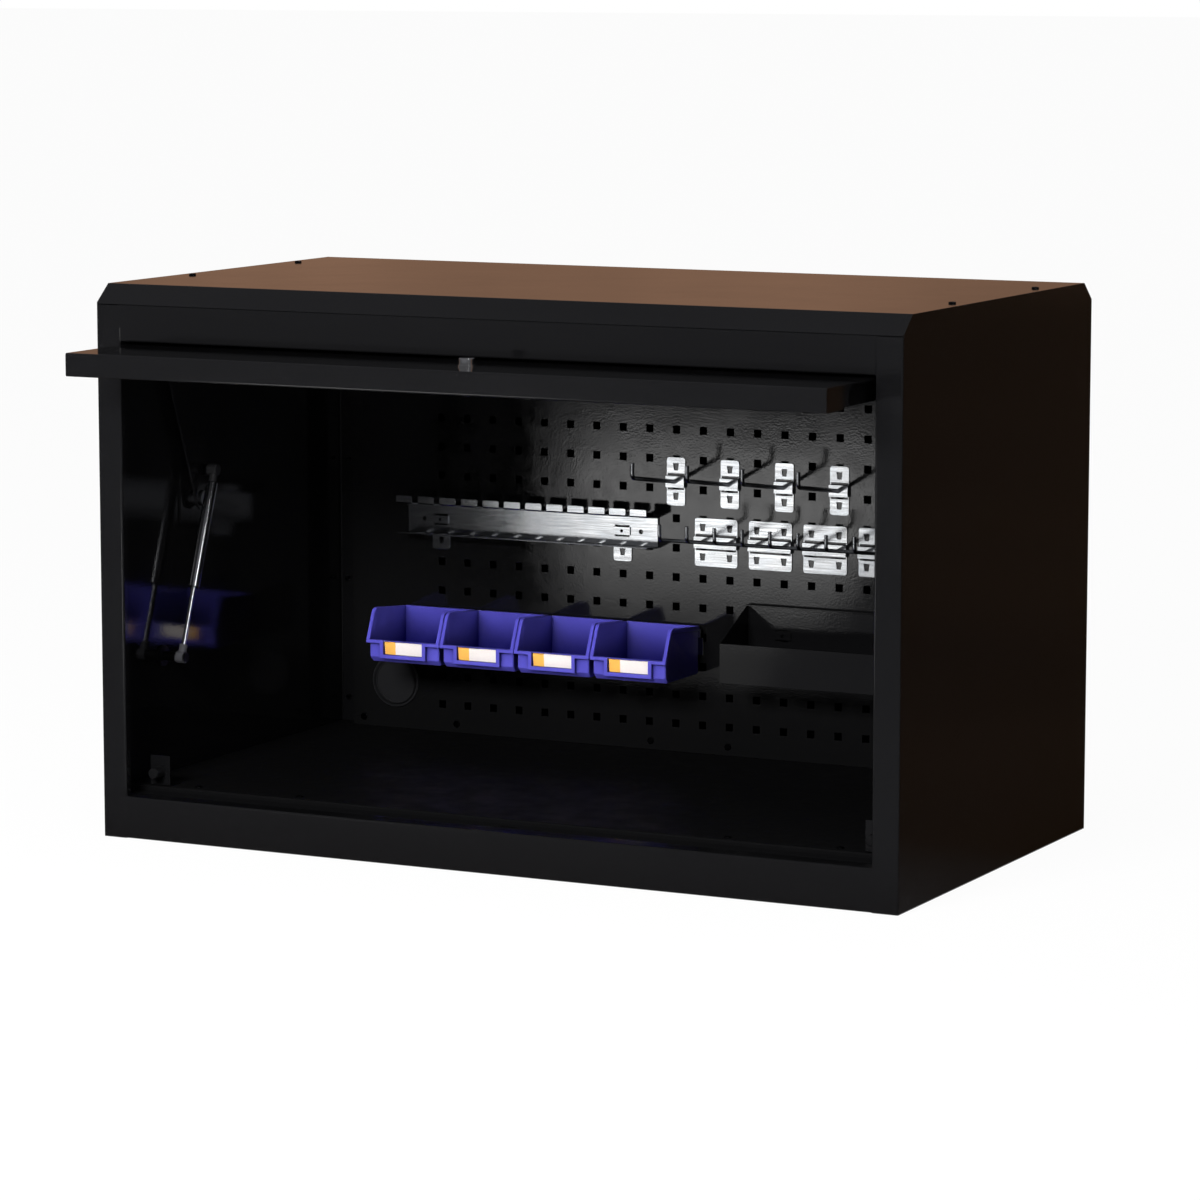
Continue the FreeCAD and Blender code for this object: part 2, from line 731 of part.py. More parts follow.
def door_stop_bumpers():
    z = FLOOR_TOP + BUMPER_LIFT
    front = CLOSED_BACK + SIDE_PLAY
    bumper = rod((stop_x(), stop_bracket_front(), z), (stop_x(), front, z), BUMPER_RADIUS)
    bumper = rounded(bumper, BUMPER_ROUND, lambda edge: edge.BoundBox.YMax < front + BUMPER_ROUND / 2)
    return pair(bumper)


def door_panel():
    """Door pan: a level outer face with a lip in front, a bevel behind and recessed returns at its sides."""
    foot = DOOR_Z - DOOR_DEPTH
    section = [
        (DOOR_FRONT + DOOR_HEM, foot),
        (DOOR_FRONT, foot),
        (DOOR_FRONT, DOOR_Z),
        (DOOR_REAR - DOOR_BEVEL, DOOR_Z),
        (DOOR_REAR, DOOR_Z - DOOR_BEVEL),
        (DOOR_REAR - DOOR_HEM, DOOR_Z - DOOR_BEVEL),
    ]
    sheet = folded(section, "X", -DOOR_HALF, DOOR_HALF)
    inner_top = DOOR_Z - SHEET / 2
    return_outline = [
        (DOOR_FRONT + SHEET / 2, foot),
        (DOOR_REAR - DOOR_BEVEL + DOOR_DEPTH - SHEET, foot),
        (DOOR_REAR - DOOR_BEVEL - SHEET / 2, inner_top),
        (DOOR_FRONT + SHEET / 2, inner_top),
    ]
    cheek_outline = [
        (DOOR_FRONT + SHEET / 2, foot + SHEET / 2),
        (DOOR_FRONT + CHEEK_FOOT, foot + SHEET / 2),
        (DOOR_FRONT + CHEEK_TOP, inner_top),
        (DOOR_FRONT + SHEET / 2, inner_top),
    ]
    side_return = prism(return_outline, "X", -DOOR_RETURN, -DOOR_RETURN + SHEET)
    cheek = prism(cheek_outline, "X", -DOOR_HALF, -DOOR_HALF + SHEET)
    whole = fused([sheet] + pair(side_return) + pair(cheek))
    barrel_hole = LOCK_BARREL_RADIUS + LOCK_BARREL_FIT
    whole = whole.cut(rod(lock_axis(DOOR_Z - 2 * SHEET), lock_axis(DOOR_Z), barrel_hole))
    for x, y, z in arm_screw_places():
        radius = SCREW_SHANK / 2 + SCREW_CLEARANCE
        for side in (1, -1):
            whole = whole.cut(rod((side * x, y, z), (side * (x + 2 * ARM_SHEET), y, z), radius))
    return [whole]


def door_stiffener():
    """Top-hat section across the inside of the door."""
    seat = DOOR_Z - SHEET
    middle = DOOR_FRONT + STIFFENER_PLACE
    half = STIFFENER_CROWN / 2
    section = [
        (middle - half - STIFFENER_FOOT, seat),
        (middle - half, seat),
        (middle - half, seat - STIFFENER_DEPTH),
        (middle + half, seat - STIFFENER_DEPTH),
        (middle + half, seat),
        (middle + half + STIFFENER_FOOT, seat),
    ]
    reach = DOOR_RETURN - SHEET - STIFFENER_END_GAP
    return [folded(section, "X", -reach, reach)]


def door_arm_left():
    """Blade beside the wall, turned in under the door and up along the door's side return."""
    tab_top = DOOR_Z - SHEET - SIDE_PLAY
    shelf = tab_top - ARM_TAB - ARM_SHEET
    middle = PIVOT_Y - ARM_LEAN
    half = ARM_HEAD_WIDTH / 2
    blade_outline = [
        (middle - half, shelf),
        (middle - half, shelf - ARM_HEAD_DROP),
        (PIVOT_Y - ARM_BOSS, PIVOT_Z),
        (PIVOT_Y + ARM_BOSS, PIVOT_Z),
        (STRUT_HEAD[0] + ARM_BOSS, STRUT_HEAD[1]),
        (middle + half, shelf - ARM_HEAD_DROP),
        (middle + half, shelf),
    ]
    blade = prism(blade_outline, "X", -ARM_OUTER, -ARM_INNER)
    boss = rod((-ARM_OUTER, PIVOT_Y, PIVOT_Z), (-ARM_INNER, PIVOT_Y, PIVOT_Z), ARM_BOSS)
    section = [
        (-DOOR_RETURN, tab_top),
        (-DOOR_RETURN, shelf),
        (-ARM_OUTER, shelf),
    ]
    elbow = folded(section, "Y", middle - half, middle + half, ARM_SHEET, ARM_BEND)
    whole = fused([blade, boss, elbow])
    hole = PIVOT_RADIUS + RUNNING_FIT
    whole = whole.cut(rod((-ARM_OUTER, PIVOT_Y, PIVOT_Z), (-ARM_INNER, PIVOT_Y, PIVOT_Z), hole))
    return bored(whole, arm_screw_places(), INWARD, 3 * ARM_SHEET)


def arm_screws():
    left = [screw(p, INWARD, ARM_SHEET + SCREW_LENGTH) for p in arm_screw_places()]
    return left + [mirrored(s) for s in left]


def pivot_plates():
    """Reinforcing plates on the side walls behind the pivots."""
    half = PIVOT_PLATE_SIZE / 2
    plate = box(-WALL, -WALL + PIVOT_PLATE, PIVOT_Y - half, PIVOT_Y + half, PIVOT_Z - half, PIVOT_Z + half)
    return pair(rounded(plate, PIVOT_PLATE_CORNER, lambda edge: runs_along(edge, "X")))


def pivot_pins():
    """Shouldered pins that the arms turn on."""
    seat = -WALL + PIVOT_PLATE
    shoulder = rod((seat, PIVOT_Y, PIVOT_Z), (-ARM_OUTER - SIDE_PLAY, PIVOT_Y, PIVOT_Z), PIVOT_SHOULDER)
    end = -ARM_INNER + SIDE_PLAY + PIVOT_CAP
    journal = rod((-ARM_OUTER - SIDE_PLAY, PIVOT_Y, PIVOT_Z), (end, PIVOT_Y, PIVOT_Z), PIVOT_RADIUS)
    return pair(fused([shoulder, journal]))


def pivot_caps():
    """Retaining rings pressed on the pins' ends."""
    start = -ARM_INNER + SIDE_PLAY
    ring = rod((start, PIVOT_Y, PIVOT_Z), (start + PIVOT_CAP, PIVOT_Y, PIVOT_Z), PIVOT_SHOULDER)
    bore = rod((start, PIVOT_Y, PIVOT_Z), (start + PIVOT_CAP, PIVOT_Y, PIVOT_Z), PIVOT_RADIUS + RUNNING_FIT)
    return pair(ring.cut(bore))


def on_strut(distance):
    """The point on the left strut's axis at a distance from its foot pin."""
    share = distance / STRUT_LENGTH
    y = STRUT_FOOT[0] + share * (STRUT_HEAD[0] - STRUT_FOOT[0])
    z = STRUT_FOOT[1] + share * (STRUT_HEAD[1] - STRUT_FOOT[1])
    return (-STRUT_X, y, z)


def strut_bar(start, end, radius):
    return rod(on_strut(start), on_strut(end), radius)


TUBE_START = SOCKET_SHANK + STRUT_ROD_SHOWN
TUBE_END = STRUT_LENGTH - SOCKET_SHANK
PISTON_START = TUBE_START + STRUT_GUIDE + STRUT_PISTON_PLACE
PISTON_END = PISTON_START + STRUT_PISTON
BORE_RADIUS = STRUT_TUBE_RADIUS - STRUT_TUBE_WALL


def strut_feet():
    """Pins on the side walls that carry the struts' lower ends."""
    y, z = STRUT_FOOT
    outer = -STRUT_X - SOCKET_HALF - SIDE_PLAY
    inner = -STRUT_X + SOCKET_HALF + SIDE_PLAY
    disc = rod((-WALL, y, z), (-WALL + FOOT_DISC, y, z), FOOT_DISC_RADIUS)
    neck = rod((-WALL + FOOT_DISC, y, z), (outer, y, z), FOOT_NECK_RADIUS)
    pin = rod((outer, y, z), (inner, y, z), FOOT_PIN_RADIUS)
    head = rod((inner, y, z), (inner + FOOT_HEAD, y, z), FOOT_NECK_RADIUS)
    return pair(fused([disc, neck, pin, head]))


def strut_foot_socket():
    y, z = STRUT_FOOT
    eye = rod((-STRUT_X - SOCKET_HALF, y, z), (-STRUT_X + SOCKET_HALF, y, z), SOCKET_RADIUS)
    bore = rod((-STRUT_X - SOCKET_HALF, y, z), (-STRUT_X + SOCKET_HALF, y, z), FOOT_PIN_RADIUS + RUNNING_FIT)
    return fused([eye, strut_bar(0, SOCKET_SHANK, SOCKET_SHANK_RADIUS)]).cut(bore)


def strut_rod():
    shaft = strut_bar(SOCKET_SHANK, PISTON_END, STRUT_ROD_RADIUS)
    return fused([shaft, strut_bar(PISTON_START, PISTON_END, BORE_RADIUS - RUNNING_FIT)])


def strut_tube():
    """Pressure tube with its rod guide at the lower end and a closed head."""
    tube = strut_bar(TUBE_START, TUBE_END, STRUT_TUBE_RADIUS)
    tube = rounded(tube, STRUT_TUBE_WALL, lambda edge: edge.Closed)
    bore = strut_bar(TUBE_START + STRUT_GUIDE, TUBE_END - STRUT_GUIDE / 2, BORE_RADIUS)
    guide = strut_bar(TUBE_START, TUBE_START + STRUT_GUIDE, STRUT_ROD_RADIUS + RUNNING_FIT)
    return tube.cut(bore).cut(guide)


def strut_head_socket():
    y, z = STRUT_HEAD
    eye = rod((-STRUT_X - SOCKET_OUTER, y, z), (-STRUT_X + SOCKET_HALF, y, z), SOCKET_RADIUS)
    eye = rounded(eye, STUD_FLANGE, lambda edge: edge.Closed and edge.BoundBox.XMin > -STRUT_X)
    return fused([eye, strut_bar(TUBE_END, STRUT_LENGTH, SOCKET_SHANK_RADIUS)])


def arm_studs():
    """Studs on the arms that the struts' upper sockets sit against."""
    y, z = STRUT_HEAD
    end = -STRUT_X - SOCKET_OUTER - SIDE_PLAY
    flange = rod((-ARM_INNER, y, z), (-ARM_INNER + STUD_FLANGE, y, z), STUD_FLANGE_RADIUS)
    neck = rod((-ARM_INNER, y, z), (end, y, z), SOCKET_SHANK_RADIUS)
    return pair(fused([flange, neck]))


def lock_axis(z):
    return (LOCK_OFFSET, LOCK_Y, z)


def lock_body():
    head_top = DOOR_Z + LOCK_FLANGE + LOCK_HEAD
    flange = rod(lock_axis(DOOR_Z), lock_axis(DOOR_Z + LOCK_FLANGE), LOCK_FLANGE_RADIUS)
    head = rod(lock_axis(DOOR_Z), lock_axis(head_top), LOCK_HEAD_RADIUS)
    head = rounded(head, LOCK_FLANGE / 2, lambda edge: edge.BoundBox.ZMin > head_top - LOCK_FLANGE)
    barrel = rod(lock_axis(LOCK_END), lock_axis(DOOR_Z), LOCK_BARREL_RADIUS)
    bore = rod(lock_axis(LOCK_END), lock_axis(head_top), LOCK_PLUG_RADIUS + RUNNING_FIT)
    return [fused([flange, head, barrel]).cut(bore)]


def lock_nut():
    top = DOOR_Z - SHEET
    turns = [k * math.pi / 3 for k in range(6)]
    corners = [
        (LOCK_OFFSET + LOCK_NUT_RADIUS * math.cos(turn), LOCK_Y + LOCK_NUT_RADIUS * math.sin(turn))
        for turn in turns
    ]
    nut = prism(corners, "Z", top - LOCK_NUT, top)
    return [nut.cut(rod(lock_axis(top - LOCK_NUT), lock_axis(top), LOCK_BARREL_RADIUS + LOCK_BARREL_FIT))]


def lock_plug():
    """Key plug with its keyway and the square drive that carries the cam."""
    top = DOOR_Z + LOCK_FLANGE + LOCK_HEAD
    half = LOCK_DRIVE / 2
    core = rod(lock_axis(CAM_TOP), lock_axis(top), LOCK_PLUG_RADIUS)
    drive = box(LOCK_OFFSET - half, LOCK_OFFSET + half, LOCK_Y - half, LOCK_Y + half, CAM_FOOT, CAM_TOP)
    half_key = KEYWAY_WIDTH / 2
    half_length = KEYWAY_LENGTH / 2
    keyway = box(
        LOCK_OFFSET - half_length, LOCK_OFFSET + half_length,
        LOCK_Y - half_key, LOCK_Y + half_key,
        top - KEYWAY_DEPTH, top,
    )
    return [fused([core, drive]).cut(keyway)]


def lock_cam():
    """Cam lever: unlocked it lies along the door, locked it points past the door's lip."""
    half = CAM_WIDTH / 2
    tip = LOCK_OFFSET - CAM_LENGTH
    lever = box(tip, LOCK_OFFSET, LOCK_Y - half, LOCK_Y + half, CAM_FOOT, CAM_TOP)
    lever = rounded(lever, half / 2, lambda edge: runs_along(edge, "Z") and edge.BoundBox.XMax < tip + half)
    lever = fused([lever, rod(lock_axis(CAM_FOOT), lock_axis(CAM_TOP), half)])
    seat = LOCK_DRIVE / 2
    return [lever.cut(box(
        LOCK_OFFSET - seat, LOCK_OFFSET + seat, LOCK_Y - seat, LOCK_Y + seat, CAM_FOOT, CAM_TOP
    ))]


def cam_screw():
    head = rod(lock_axis(CAM_FOOT - CAM_SCREW), lock_axis(CAM_FOOT), CAM_SCREW_RADIUS)
    head = rounded(head, CAM_SCREW / 3, lambda edge: edge.BoundBox.ZMax < CAM_FOOT - CAM_SCREW / 2)
    return [head]


def peg_tab(x, z):
    """Tab that passes through a hole of the back, rests on its lower edge and hooks down behind it."""
    seat = z - PEG_HOLE / 2
    back = PEG_FACE + SHEET + TAB_GAP
    half = TAB_WIDTH / 2
    arm = box(x - half, x + half, PLATE_FACE, back + PLATE, seat, seat + PLATE)
    leg = box(x - half, x + half, back, back + PLATE, seat - TAB_LEG, seat + PLATE)
    return fused([arm, leg])


def hook_plate(columns, row, side):
    """Plate across one or two columns of holes, hung on two rows, with punched tabs."""
    xs = [column_x(column) for column in columns]
    zs = [row_z(row), row_z(row) - PEG_PITCH]
    drop = (PEG_HOLE + PUNCH_HEIGHT) / 2
    middle_z = sum(zs) / 2 - drop
    half_width = (xs[-1] - xs[0]) / 2 + side
    middle_x = sum(xs) / len(xs)
    half_height = PLATE_HEIGHT / 2
    plate = box(
        middle_x - half_width, middle_x + half_width, PLATE_FACE, PEG_FACE,
        middle_z - half_height, middle_z + half_height,
    )
    plate = rounded(plate, PLATE_CORNER, lambda edge: runs_along(edge, "Y"))
    for x in xs:
        for z in zs:
            seat = z - PEG_HOLE / 2
            punch = [
                (x - PUNCH_TOP / 2, seat),
                (x + PUNCH_TOP / 2, seat),
                (x + PUNCH_FOOT / 2, seat - PUNCH_HEIGHT),
                (x - PUNCH_FOOT / 2, seat - PUNCH_HEIGHT),
            ]
            plate = plate.cut(prism(punch, "Y", PLATE_FACE, PEG_FACE))
    tabs = [peg_tab(x, z) for x in xs for z in zs]
    return fused([plate] + tabs), middle_x, middle_z, half_width


def hook_rod(x, z, radius):
    """Bent rod that rises gently forward and turns up at its tip."""
    lift = math.radians(ROD_RISE)
    start = (PLATE_FACE - STRIP_RISE + PLATE / 2, z)
    corner = (start[0] - ROD_REACH * math.cos(lift), start[1] + ROD_REACH * math.sin(lift))
    tip = (corner[0], corner[1] + ROD_BEND + ROD_TIP)
    back_off = ROD_BEND * math.tan((math.pi / 2 - lift) / 2)
    enter = (corner[0] + back_off * math.cos(lift), corner[1] - back_off * math.sin(lift))
    leave = (corner[0], corner[1] + back_off)
    centre = (leave[0] + ROD_BEND, leave[1])
    toward = unit(centre, corner)
    middle = (centre[0] + ROD_BEND * toward[0], centre[1] + ROD_BEND * toward[1])
    spots = {name: place("X", x, *spot) for name, spot in
             dict(start=start, enter=enter, middle=middle, leave=leave, tip=tip).items()}
    path = Part.Wire([
        Part.LineSegment(spots["start"], spots["enter"]).toShape(),
        Part.Arc(spots["enter"], spots["middle"], spots["leave"]).toShape(),
        Part.LineSegment(spots["leave"], spots["tip"]).toShape(),
    ])
    heading = spots["enter"] - spots["start"]
    profile = Part.Wire([Part.makeCircle(radius, spots["start"], heading)])
    return path.makePipeShell([profile], True, True)


def bridge(x0, x1, z0, z1, front, back, rise, sheet):
    """Strip lanced out of a sheet: it stands forward of the sheet's front and keeps a leg at each end."""
    outside = box(x0, x1, front - rise, back, z0, z1)
    return outside.cut(box(x0 + sheet, x1 - sheet, front - rise + sheet, back, z0, z1))


def hook(columns, row, side, radius):
    """Hook plate with a lanced strip across its middle that carries a rod at each column."""
    plate, middle_x, middle_z, half_width = hook_plate(columns, row, side)
    half_strip = STRIP_HEIGHT / 2
    half_window = half_strip + STRIP_SLIT
    left, right = middle_x - half_width, middle_x + half_width
    window = box(
        left + PLATE, right - PLATE, PLATE_FACE, PEG_FACE, middle_z - half_window, middle_z + half_window
    )
    strip = bridge(
        left, right, middle_z - half_strip, middle_z + half_strip, PLATE_FACE, PEG_FACE, STRIP_RISE, PLATE
    )
    rods = [hook_rod(column_x(column), middle_z, radius) for column in columns]
    return [fused([plate.cut(window), strip] + rods)]


def lanced(sheet, x, z, front, back):
    """A sheet with a short lanced strip and a hole in it, where a plain plate holds it."""
    half_length = LANCE_LENGTH / 2
    half_height = LANCE_HEIGHT / 2
    half_window = half_height + LANCE_SLIT
    thick = back - front
    sheet = sheet.cut(box(x - half_length, x + half_length, front, back, z - half_window, z + half_window))
    strip = bridge(
        x - half_length - thick, x + half_length + thick, z - half_height, z + half_height,
        front, back, LANCE_RISE, thick,
    )
    hole = rod((x, front - LANCE_RISE, z), (x, back, z), LANCE_HOLE / 2)
    return fused([sheet, strip]).cut(hole)


def plain_plates(columns, row, lance_z):
    """Hook plates without rods, each with a window behind the lanced strip of what it carries."""
    half_length = LANCE_LENGTH / 2
    half_window = LANCE_HEIGHT / 2 + LANCE_SLIT
    plates = []
    for column in columns:
        x = column_x(column)
        window = box(
            x - half_length, x + half_length, PLATE_FACE, PEG_FACE, lance_z - half_window, lance_z + half_window
        )
        plates.append(hook_plate([column], row, SINGLE_PLATE_SIDE)[0].cut(window))
    return plates


def tool_rail_left():
    """Left end of the tool rail, beside its first column of holes."""
    return column_x(RAIL_COLUMNS[0]) - TOOL_RAIL_LEFT


def tool_rail_middle():
    """Middle height of the tool rail's web."""
    return row_z(RAIL_ROW) - PEG_PITCH / 2 + TOOL_RAIL_LIFT - (PEG_HOLE + PUNCH_HEIGHT) / 2


def tool_slots():
    """Both sides of each slot between the rail's teeth, which get narrower to the right."""
    count = TOOL_RAIL_TEETH - 1
    step = (TOOL_SLOT_WIDE - TOOL_SLOT_NARROW) / (count - 1)
    widths = [TOOL_SLOT_WIDE - step * index for index in range(count)]
    tooth = (TOOL_RAIL_LENGTH - sum(widths)) / TOOL_RAIL_TEETH
    slots = []
    x = tool_rail_left()
    for width in widths:
        x += tooth
        slots.append((x, x + width))
        x += width
    return slots


def tool_rail():
    """Channel hung on two plates: both flanges rise gently forward, and the top one ends in upright teeth."""
    left = tool_rail_left()
    right = left + TOOL_RAIL_LENGTH
    middle_z = tool_rail_middle()
    foot = middle_z - TOOL_RAIL_WEB / 2
    top = middle_z + TOOL_RAIL_WEB / 2
    tilt = math.radians(TOOL_RAIL_TILT)
    front = PLATE_FACE - TOOL_RAIL_FLANGE * math.cos(tilt)
    rise = TOOL_RAIL_FLANGE * math.sin(tilt)
    section = [
        (front, top + rise + TOOTH_HEIGHT),
        (front, top + rise),
        (PLATE_FACE, top),
        (PLATE_FACE, foot),
        (front, foot + rise),
    ]
    rail = folded(section, "X", left, right, PLATE)
    root = PLATE_FACE - TOOL_SLOT_ROOT
    for x0, x1 in tool_slots():
        rail = rail.cut(box(x0, x1, front - PLATE, root, middle_z, top + rise + TOOTH_HEIGHT))
        rail = rail.cut(box(x0, x1, front + TOOL_SLOT_FRONT, root, foot - PLATE, middle_z))
    rail = rounded(rail, TOOTH_ROUND, lambda edge: (
        runs_along(edge, "Y") and edge.BoundBox.ZMin > top + rise + TOOTH_HEIGHT - HAIR
    ))
    for column in RAIL_COLUMNS:
        rail = lanced(rail, column_x(column), middle_z, PLATE_FACE - PLATE, PLATE_FACE)
    for x in (left + RAIL_HOLE_PLACE, right - RAIL_HOLE_PLACE):
        rail = rail.cut(rod((x, PLATE_FACE - PLATE, middle_z), (x, PLATE_FACE, middle_z), RAIL_HOLE / 2))
    return [rail]


def bin_rail_left():
    """Left end of the bins' rail, beside its first column of holes."""
    return column_x(BIN_RAIL_COLUMNS[0]) - BIN_LEFT


def bin_left(index):
    """Left outer face of a bin's body."""
    return bin_rail_left() + index * BIN_PITCH + (BIN_PITCH - BIN_WIDTH) / 2


def bin_profile():
    """A bin's side outline, without its rear hook."""
    return [
        (BIN_BACK, BIN_FOOT),
        (BIN_FRONT + BIN_TOE, BIN_FOOT),
        (BIN_FRONT, BIN_FOOT + BIN_TOE),
        (BIN_FRONT, BIN_FOOT + BIN_LIP),
        (BIN_FRONT + BIN_SLOPE, BIN_TOP + BIN_CREST),
        (BIN_BACK, BIN_TOP),
    ]


def bin_rim(x0, x1):
    """Flange that follows a side wall's sloped front and top edge."""
    path = [
        (BIN_FRONT - LABEL_FRAME_DEPTH, BIN_FOOT + BIN_LIP),
        (BIN_FRONT + BIN_SLOPE, BIN_TOP + BIN_CREST),
        (BIN_BACK, BIN_TOP),
    ]
    return folded(path, "X", x0, x1, BIN_RIM_DEPTH, BIN_RIM_DEPTH + BIN_CREST_ROUND)


def label_box(index, grow, depth):
    """A block in front of a bin's front wall, as large as its label and a margin."""
    middle = bin_left(index) + BIN_WIDTH / 2
    half = LABEL_WIDTH / 2 + grow
    foot = BIN_FOOT + LABEL_LIFT
    return box(middle - half, middle + half, BIN_FRONT - depth, BIN_FRONT, foot - grow, foot + LABEL_HEIGHT)


def storage_bin(index):
    """Open-fronted bin with rims, a lip flange, a label pocket and the hook that hangs it on its rail."""
    left = bin_left(index)
    right = left + BIN_WIDTH
    lip = BIN_FOOT + BIN_LIP
    body = prism(bin_profile(), "X", left, right)

    def is_lower_edge(edge):
        size = edge.BoundBox
        on_front = runs_along(edge, "Z") and size.YMax < BIN_FRONT + HAIR
        return on_front or size.ZMax < BIN_FOOT + BIN_TOE + HAIR

    def is_crest(edge):
        return runs_along(edge, "X") and edge.BoundBox.ZMin > BIN_TOP + BIN_CREST - HAIR

    body = rounded(body, BIN_CORNER, is_lower_edge)
    body = rounded(body, BIN_RIM_DEPTH + BIN_CREST_ROUND, is_crest)
    toe = BIN_TOE + BIN_WALL / 2
    inside = [
        (BIN_BACK - BIN_WALL, BIN_FOOT + BIN_WALL),
        (BIN_FRONT + toe, BIN_FOOT + BIN_WALL),
        (BIN_FRONT + BIN_WALL, BIN_FOOT + toe),
        (BIN_FRONT + BIN_WALL, lip),
        (BIN_FRONT - BIN_WALL, lip),
        (BIN_FRONT - BIN_WALL, BIN_TOP + BIN_CREST + BIN_WALL),
        (BIN_BACK - BIN_WALL, BIN_TOP + BIN_CREST + BIN_WALL),
    ]
    body = body.cut(prism(inside, "X", left + BIN_WALL, right - BIN_WALL))
    hook_back = UPSTAND_BACK + BIN_SEAT_GAP + BIN_HOOK
    ledge = box(left, right, BIN_BACK - BIN_WALL, hook_back, BIN_TOP - BIN_LEDGE, BIN_TOP)
    leg = box(left, right, hook_back - BIN_HOOK, hook_back, BIN_TOP - BIN_HOOK_DROP, BIN_TOP)
    rims = [bin_rim(left - BIN_RIM, left + BIN_WALL), bin_rim(right - BIN_WALL, right + BIN_RIM)]
    flange = box(
        left - BIN_RIM, right + BIN_RIM, BIN_FRONT - LABEL_FRAME_DEPTH, BIN_FRONT + BIN_WALL,
        lip - BIN_LIP_FLANGE, lip,
    )
    pocket = fused([flange, label_box(index, LABEL_FRAME, LABEL_FRAME_DEPTH)])
    pocket = pocket.cut(label_box(index, LABEL_GAP, LABEL_FRAME_DEPTH + BIN_WALL))
    return [fused([body, ledge, leg, pocket] + rims)]


def bin_label(index):
    return [label_box(index, 0, LABEL_THICKNESS)]


def bin_rail():
    """Louvre rail hooked into the back, with the upstand that the bins hang on."""
    fold = UPSTAND_TOP - BIN_RAIL_UPSTAND
    section = [
        (UPSTAND_BACK, UPSTAND_TOP),
        (UPSTAND_BACK, fold),
        (PEG_FACE, fold),
        (PEG_FACE, fold - BIN_RAIL_PLATE),
    ]
    left = bin_rail_left()
    rail = folded(section, "X", left, left + BIN_COUNT * BIN_PITCH, PLATE)
    tabs = [peg_tab(column_x(column), row_z(BIN_ROW)) for column in BIN_RAIL_COLUMNS]
    return [fused([rail] + tabs)]


def parts_tray():
    """Open tray with sloped ends, a lip along its back and a lanced clip at each hook plate."""
    left = column_x(TRAY_COLUMNS[0]) - TRAY_LEFT
    right = left + TRAY_LENGTH
    back = PLATE_FACE
    front = back - TRAY_DEPTH
    profile = [
        (back, TRAY_FOOT),
        (front, TRAY_FOOT),
        (front, TRAY_FOOT + TRAY_FRONT),
        (back, TRAY_FOOT + TRAY_BACK),
    ]
    inside = [
        (back - SHEET, TRAY_FOOT + SHEET),
        (front + SHEET, TRAY_FOOT + SHEET),
        (front + SHEET, TRAY_FOOT + TRAY_BACK),
        (back - SHEET, TRAY_FOOT + TRAY_BACK),
    ]
    tray = prism(profile, "X", left, right).cut(prism(inside, "X", left + SHEET, right - SHEET))
    top = TRAY_FOOT + TRAY_BACK
    lip = box(left, right, back - TRAY_LIP, back, top - SHEET, top)
    tray = fused([tray, lip])
    for column in TRAY_COLUMNS:
        tray = lanced(tray, column_x(column), TRAY_FOOT + TRAY_CLIP_LIFT, back - SHEET, back)
    return [tray]


def nodes():
    """Every node's solids by name."""
    side = side_panel_left()
    arm = door_arm_left()
    parts = {
        "side_panel_left": [side],
        "side_panel_right": [mirrored(side)],
        "door_arm_left": [arm],
        "door_arm_right": [mirrored(arm)],
    }
    for make in (
        top_panel, front_fascia, bottom_rail, rear_base_rail, floor_supports, floor_panel, back_panel,
        pegboard, cable_grommet, carcass_screws, pegboard_screws, door_stop_brackets, door_stop_bumpers,
        door_panel, door_stiffener, arm_screws, pivot_plates, pivot_pins, pivot_caps, strut_feet, arm_studs,
        lock_body, lock_nut, lock_plug, lock_cam, cam_screw, tool_rail, bin_rail, parts_tray,
    ):
        parts[make.__name__] = make()
    for make in (strut_foot_socket, strut_rod, strut_tube, strut_head_socket):
        left = make()
        parts[make.__name__ + "_left"] = [left]
        parts[make.__name__ + "_right"] = [mirrored(left)]
    parts["rail_plates"] = plain_plates(RAIL_COLUMNS, RAIL_ROW, tool_rail_middle())
    parts["tray_clips"] = plain_plates(TRAY_COLUMNS, TRAY_ROW, TRAY_FOOT + TRAY_CLIP_LIFT)
    for index, column in enumerate(SINGLE_COLUMNS, start=1):
        parts[f"single_hook_{index}"] = hook([column], SINGLE_ROW, SINGLE_PLATE_SIDE, SINGLE_ROD_RADIUS)
    for index, column in enumerate(DOUBLE_COLUMNS, start=1):
        columns = [column, column + 1]
        parts[f"double_hook_{index}"] = hook(columns, DOUBLE_ROW, DOUBLE_PLATE_SIDE, DOUBLE_ROD_RADIUS)
    for index in range(BIN_COUNT):
        parts[f"bin_{index + 1}"] = storage_bin(index)
        parts[f"bin_label_{index + 1}"] = bin_label(index)
    return parts


os.makedirs("parts", exist_ok=True)
for name, solids in nodes().items():
    shape = solids[0] if len(solids) == 1 else Part.makeCompound(solids)
    shape.exportStep(f"parts/{name}.step")
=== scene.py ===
import json
import math

